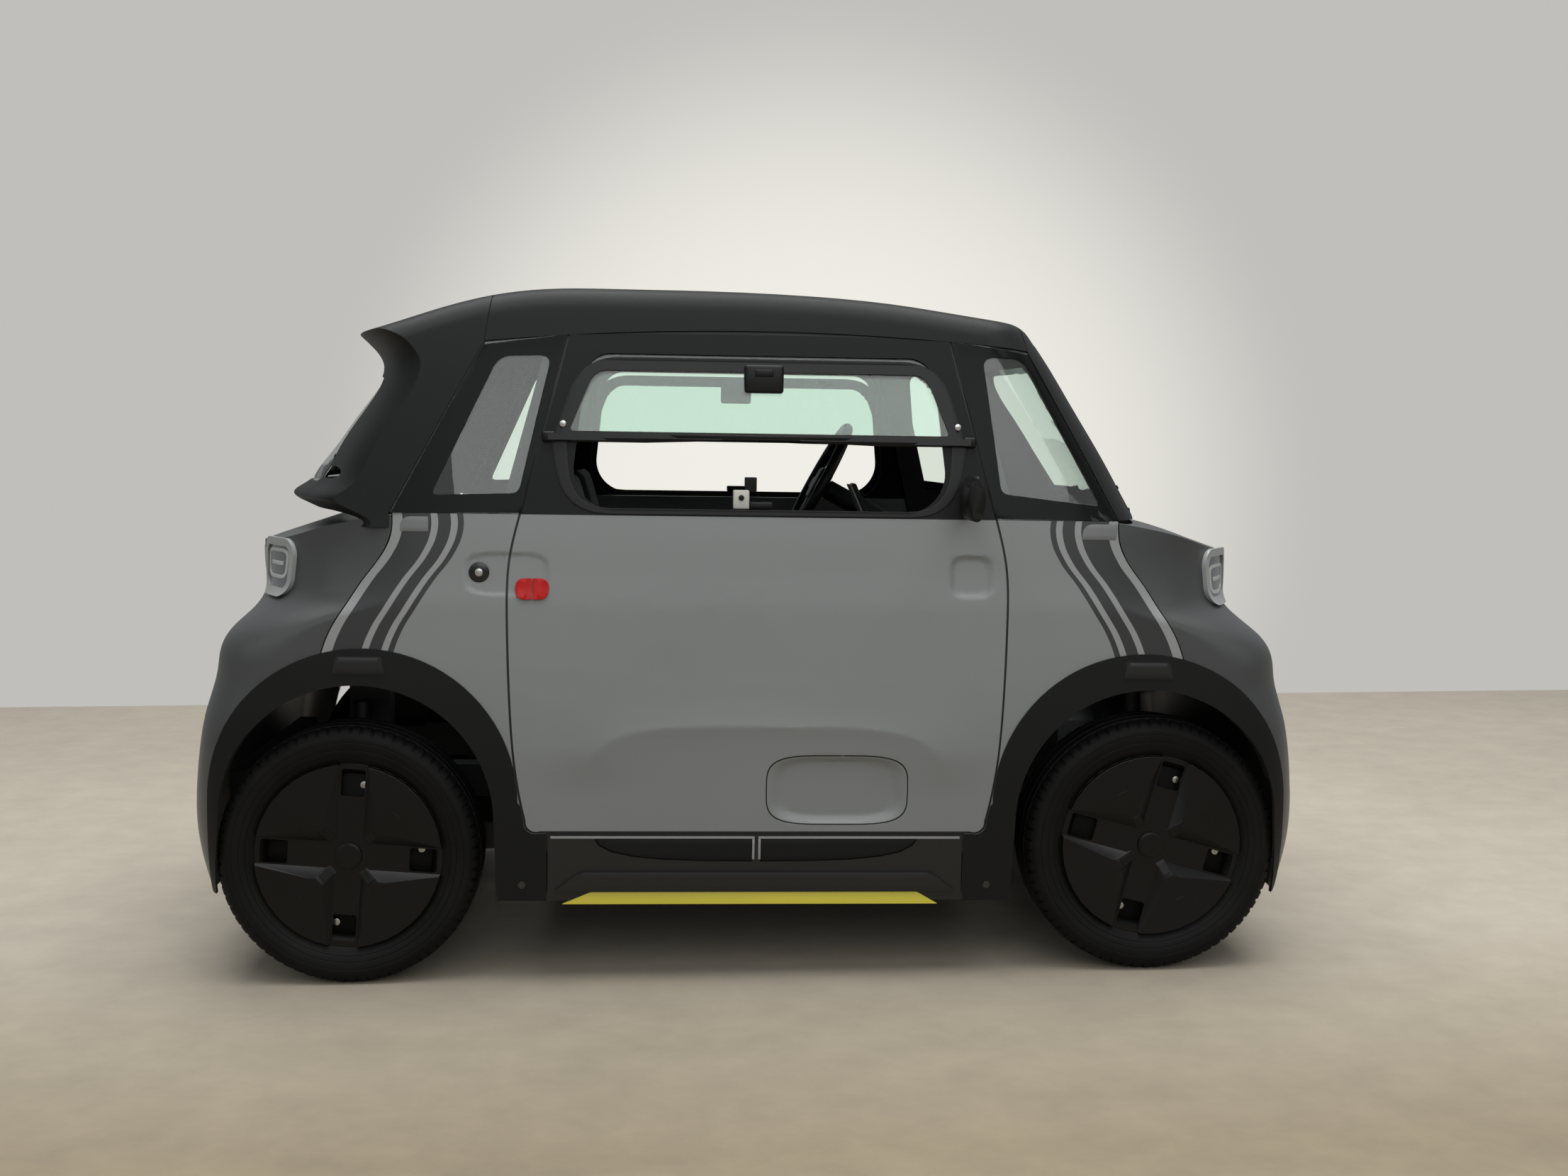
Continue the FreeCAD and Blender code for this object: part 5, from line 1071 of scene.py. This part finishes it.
class MICROCAR_OT_sills(bpy.types.Operator):
    """Sills with inset panels, painted highlights on their top edge and middle seam, painted shadow round the insets,
    screws and the coloured strip
    """
    bl_idname = "microcar.sills"
    bl_label = "Sills"

    def execute(self, context):
        colours = context.scene.microcar_colours
        grain = context.scene.microcar_sizes.grain
        black = moulded("sill_polypropylene", "#161717", 0.4, grain, 0.08 * MM, specular=0.4)
        inset = moulded("sill_inset_black", "#0C0D0D", 0.62, grain, 0.14 * MM, specular=0.2)
        # Pale finish for the painted highlight along each sill's top edge and its middle seam
        edge_highlight = moulded("sill_edge_painted_highlight", "#7F8182", 0.4, grain, 0.04 * MM)
        screw = metal("black_zinc_screw", "#4A4A49", 0.4)
        yellow = moulded("painted_strip_yellow", colours.strip_yellow, 0.36, 5.0 * MM, 0.05 * MM, 0.1)
        dress("sills", black)
        strip = plate([(-412, 170), (392, 170), (346, 197), (-350, 197)], -681.5, 10.0, 1.5)
        keep(strip, "sill_strip_right", yellow, BODY)
        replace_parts(strip, "sill_strips")
        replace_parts(copied(strip, ACROSS, "sill_strip_left", BODY), "sill_strips")
        sill = skin("sills")
        pieces = []
        # Painted shadow: deep black plates a little larger than the inset panels, which show as a dark line round their
        # edges
        dark = moulded("sill_painted_shadow_black", "#030303", 0.8, grain, 0.02 * MM, specular=0.1)
        # Drawn for the front half; the rear half mirrors it
        halves = (
            ("edge_highlight_", [(4, 313), (436, 313), (436, 318), (4, 318)], 1.6, 3.0, 0.6, 2, edge_highlight),
            ("edge_highlight_post_", [(4, 268), (9, 268), (9, 313), (4, 313)], 1.6, 3.0, 0.6, 2, edge_highlight),
            ("inset_", [(10, 311), (10, 266), (120, 267), (200, 270), (260, 276), (305, 286), (330, 299), (341, 311)],
             1.6, 3.0, 1.0, 3, inset),
            ("painted_shadow_", [(8, 312), (8, 263.5), (120, 264.5), (201, 267.5), (262, 273.5), (308, 283.5), (334, 297.5),
                         (345, 312)], 0.8, 2.0, 0.0, 3, dark))
        for end, sign in (("rear", -1.0), ("front", 1.0)):
            for name, half, lift, thick, edge, cuts, finish_of in halves:
                outline = [(x * sign, z) for x, z in half]
                pieces.append((laid(outline, sill, lift, thick, edge, cuts=cuts), name + end, finish_of))
        step = filleted([(-428, 199), (428, 199), (376, 240), (-376, 240)], (4, 4, 16, 16), 4)
        pieces.append((laid(step, sill, 8.0, 9.0, 6.0), "step", black))
        for piece, name, finish_of in pieces:
            keep(piece, "sill_right_" + name, finish_of, BODY)
            copied(piece, ACROSS, "sill_left_" + name, BODY)
        trims = skin("arch_trims")
        for name, x in (("rear", -496.0), ("front", 496.0)):
            piece = laid(squircle((x, 213.0), (8.0, 8.0), 2.0, 20), trims, 2.5, 4.0, 1.2, cuts=1)
            keep(piece, "trim_screw_right_" + name, screw, BODY)
            copied(piece, ACROSS, "trim_screw_left_" + name, BODY)
        return {"FINISHED"}


# The steering wheel, as part.py places it on its column
COLUMN_TILT = 28.0
STEERING_CENTRE = (200.0, 300.0, 1045.0)
STEERING_RADIUS, GRIP_RADIUS = 165.0, 13.5


class MICROCAR_OT_cab(bpy.types.Operator):
    """Dashboard, steering wheel, phone holder and seat shells"""
    bl_idname = "microcar.cab"
    bl_label = "Cab"

    def execute(self, context):
        black = moulded("moulded_cab_black", "#1A1B1C", 0.55, 2.0 * MM, 0.1 * MM)
        leather = moulded("wrapped_rim_black", "#151515", 0.45, 2.4 * MM, 0.2 * MM)
        pale = moulded("holder_edge_pale", "#C9CAC8", 0.3, 2.0 * MM, 0.03 * MM)
        for node in ("dashboard", "steering_column"):
            dress(node, black, edge=3.0)
        dress("seat_shells", black, edge=6.0)
        tilt = math.radians(COLUMN_TILT)
        axis = Vector((-math.cos(tilt), 0.0, math.sin(tilt)))
        place = RAKED @ at(*STEERING_CENTRE) @ axis.to_track_quat("Z", "Y").to_matrix().to_4x4()
        bpy.ops.object.select_all(action="DESELECT")
        bpy.ops.mesh.primitive_torus_add(major_radius=STEERING_RADIUS * MM, minor_radius=GRIP_RADIUS * MM,
                                         major_segments=72, minor_segments=16)
        rim = context.object
        spokes = [block((-158.0, -17.0, -9.0), (158.0, 17.0, 5.0), 5.0, 3, AS_DRAWN),
                  block((-17.0, -158.0, -9.0), (17.0, 0.0, 5.0), 5.0, 3, AS_DRAWN),
                  block((-48.0, -48.0, -26.0), (48.0, 48.0, 10.0), 14.0, 4, AS_DRAWN)]
        wheel = moved(joined(rim, *spokes), place)
        keep(wheel, "steering_wheel_skin", leather, "steering_wheel")
        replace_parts(wheel, "steering_wheel")
        holder = RAKED @ at(290.0, 90.0, 1015.0) @ about_y(-24.0)
        for low, high, edge, name, finish_of in (
                ((-9.0, -42.0, -52.0), (4.0, 42.0, 40.0), 3.0, "phone_holder", black),
                ((-12.0, -44.0, -54.0), (-8.0, 44.0, 42.0), 1.5, "phone_holder_edge", pale)):
            keep(block(low, high, edge, 3, holder), name, finish_of, BODY)
        keep(block((284.0, 60.0, 900.0), (560.0, 120.0, 965.0), 12.0, 3), "phone_holder_arm", black, BODY)
        return {"FINISHED"}


PAD_WIDTH, PAD_THICKNESS = 392.0, 34.0
CUSHION_LENGTH, BACK_LENGTH = 362.0, 484.0
SEAT_Y = 300.0
# A seat pad is blown up on a net of this mesh, for this many frames, and no point moves further than the last
PAD_NET = 7.0
CLOTH_FRAMES = 16
MOST_PUFF = 9.0


def pad_mesh(width, length, thick):
    """Plump seat pad, lying flat with its underside at z = 0, blown up like cloth over foam."""
    bpy.ops.object.select_all(action="DESELECT")
    bpy.ops.mesh.primitive_cube_add(size=1.0, location=(0.0, 0.0, thick * 0.5 * MM))
    pad = bpy.context.object
    pad.scale = (length * MM, width * MM, thick * MM)
    settled(pad)
    edited(pad, lambda: bpy.ops.mesh.subdivide(number_cuts=6))
    edged(pad, 12.0, 4)
    modified(pad, "REMESH", mode="VOXEL", voxel_size=PAD_NET * MM)
    rest = [vertex.co.copy() for vertex in pad.data.vertices]
    cloth = pad.modifiers.new("Cloth", "CLOTH")
    cloth.settings.use_pressure = True
    cloth.settings.uniform_pressure_force = 4.0
    cloth.settings.effector_weights.gravity = 0.0
    cloth.settings.quality = 4
    scene = bpy.context.scene
    for number in range(1, CLOTH_FRAMES + 1):
        scene.frame_set(number)
    only(pad)
    bpy.ops.object.modifier_apply(modifier=cloth.name)
    scene.frame_set(1)
    for vertex, start in zip(pad.data.vertices, rest):
        move = vertex.co - start
        if move.length > MOST_PUFF * MM:
            vertex.co = start + move.normalized() * MOST_PUFF * MM
        vertex.co.z = max(vertex.co.z, 0.0)
    return modified(pad, "SUBSURF", levels=1, render_levels=1)


class MICROCAR_OT_seats(bpy.types.Operator):
    """Seat cushions and back pads"""
    bl_idname = "microcar.seats"
    bl_label = "Seat pads"

    def execute(self, context):
        cloth = woven("seat_cloth", "#2D2E31", context.scene.microcar_sizes.weave)
        cushion = pad_mesh(PAD_WIDTH, CUSHION_LENGTH, PAD_THICKNESS)
        back = pad_mesh(PAD_WIDTH, BACK_LENGTH, PAD_THICKNESS)
        lean = at(-300.0, 0.0, 510.0) @ about_y(-16.0) @ at(8.6, 0.0, 340.0) @ about_y(90.0)
        flat = at(-59.0, 0.0, 530.6)
        for side, y in (("right", -SEAT_Y), ("left", SEAT_Y)):
            for source, place, part in ((cushion, flat, "cushion"), (back, lean, "back_pad")):
                name = "seat_%s_%s" % (side, part)
                piece = copied(source, RAKED @ at(0.0, y, 0.0) @ place, name, BODY)
                keep(piece, name, cloth, BODY, 60.0)
                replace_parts(piece, "seat_pads")
        removed(cushion, back)
        return {"FINISHED"}


class MICROCAR_PT_panel(bpy.types.Panel):
    """Lists the steps that build the microcar"""
    bl_label = "Microcar"
    bl_idname = "MICROCAR_PT_panel"
    bl_space_type = "VIEW_3D"
    bl_region_type = "UI"
    bl_category = "Microcar"

    def draw(self, context):
        for step in STEPS:
            self.layout.operator(step.bl_idname)


STEPS = (MICROCAR_OT_studio, MICROCAR_OT_panels, MICROCAR_OT_doors, MICROCAR_OT_glazing, MICROCAR_OT_lamps,
         MICROCAR_OT_faces, MICROCAR_OT_wheels, MICROCAR_OT_underbody, MICROCAR_OT_sills, MICROCAR_OT_cab,
         MICROCAR_OT_seats)
CLASSES = (MicrocarColours, MicrocarSizes, MICROCAR_PT_panel) + STEPS


def register():
    for entry in CLASSES:
        bpy.utils.register_class(entry)
    bpy.types.Scene.microcar_colours = bpy.props.PointerProperty(type=MicrocarColours)
    bpy.types.Scene.microcar_sizes = bpy.props.PointerProperty(type=MicrocarSizes)


def unregister():
    del bpy.types.Scene.microcar_sizes
    del bpy.types.Scene.microcar_colours
    for entry in reversed(CLASSES):
        bpy.utils.unregister_class(entry)


def main():
    register()
    bpy.ops.microcar.studio()
    bpy.ops.microcar.panels()
    bpy.ops.microcar.doors()
    bpy.ops.microcar.glazing()
    bpy.ops.microcar.lamps()
    bpy.ops.microcar.faces()
    bpy.ops.microcar.wheels()
    bpy.ops.microcar.underbody()
    bpy.ops.microcar.sills()
    bpy.ops.microcar.cab()
    bpy.ops.microcar.seats()


if __name__ == "__main__":
    main()
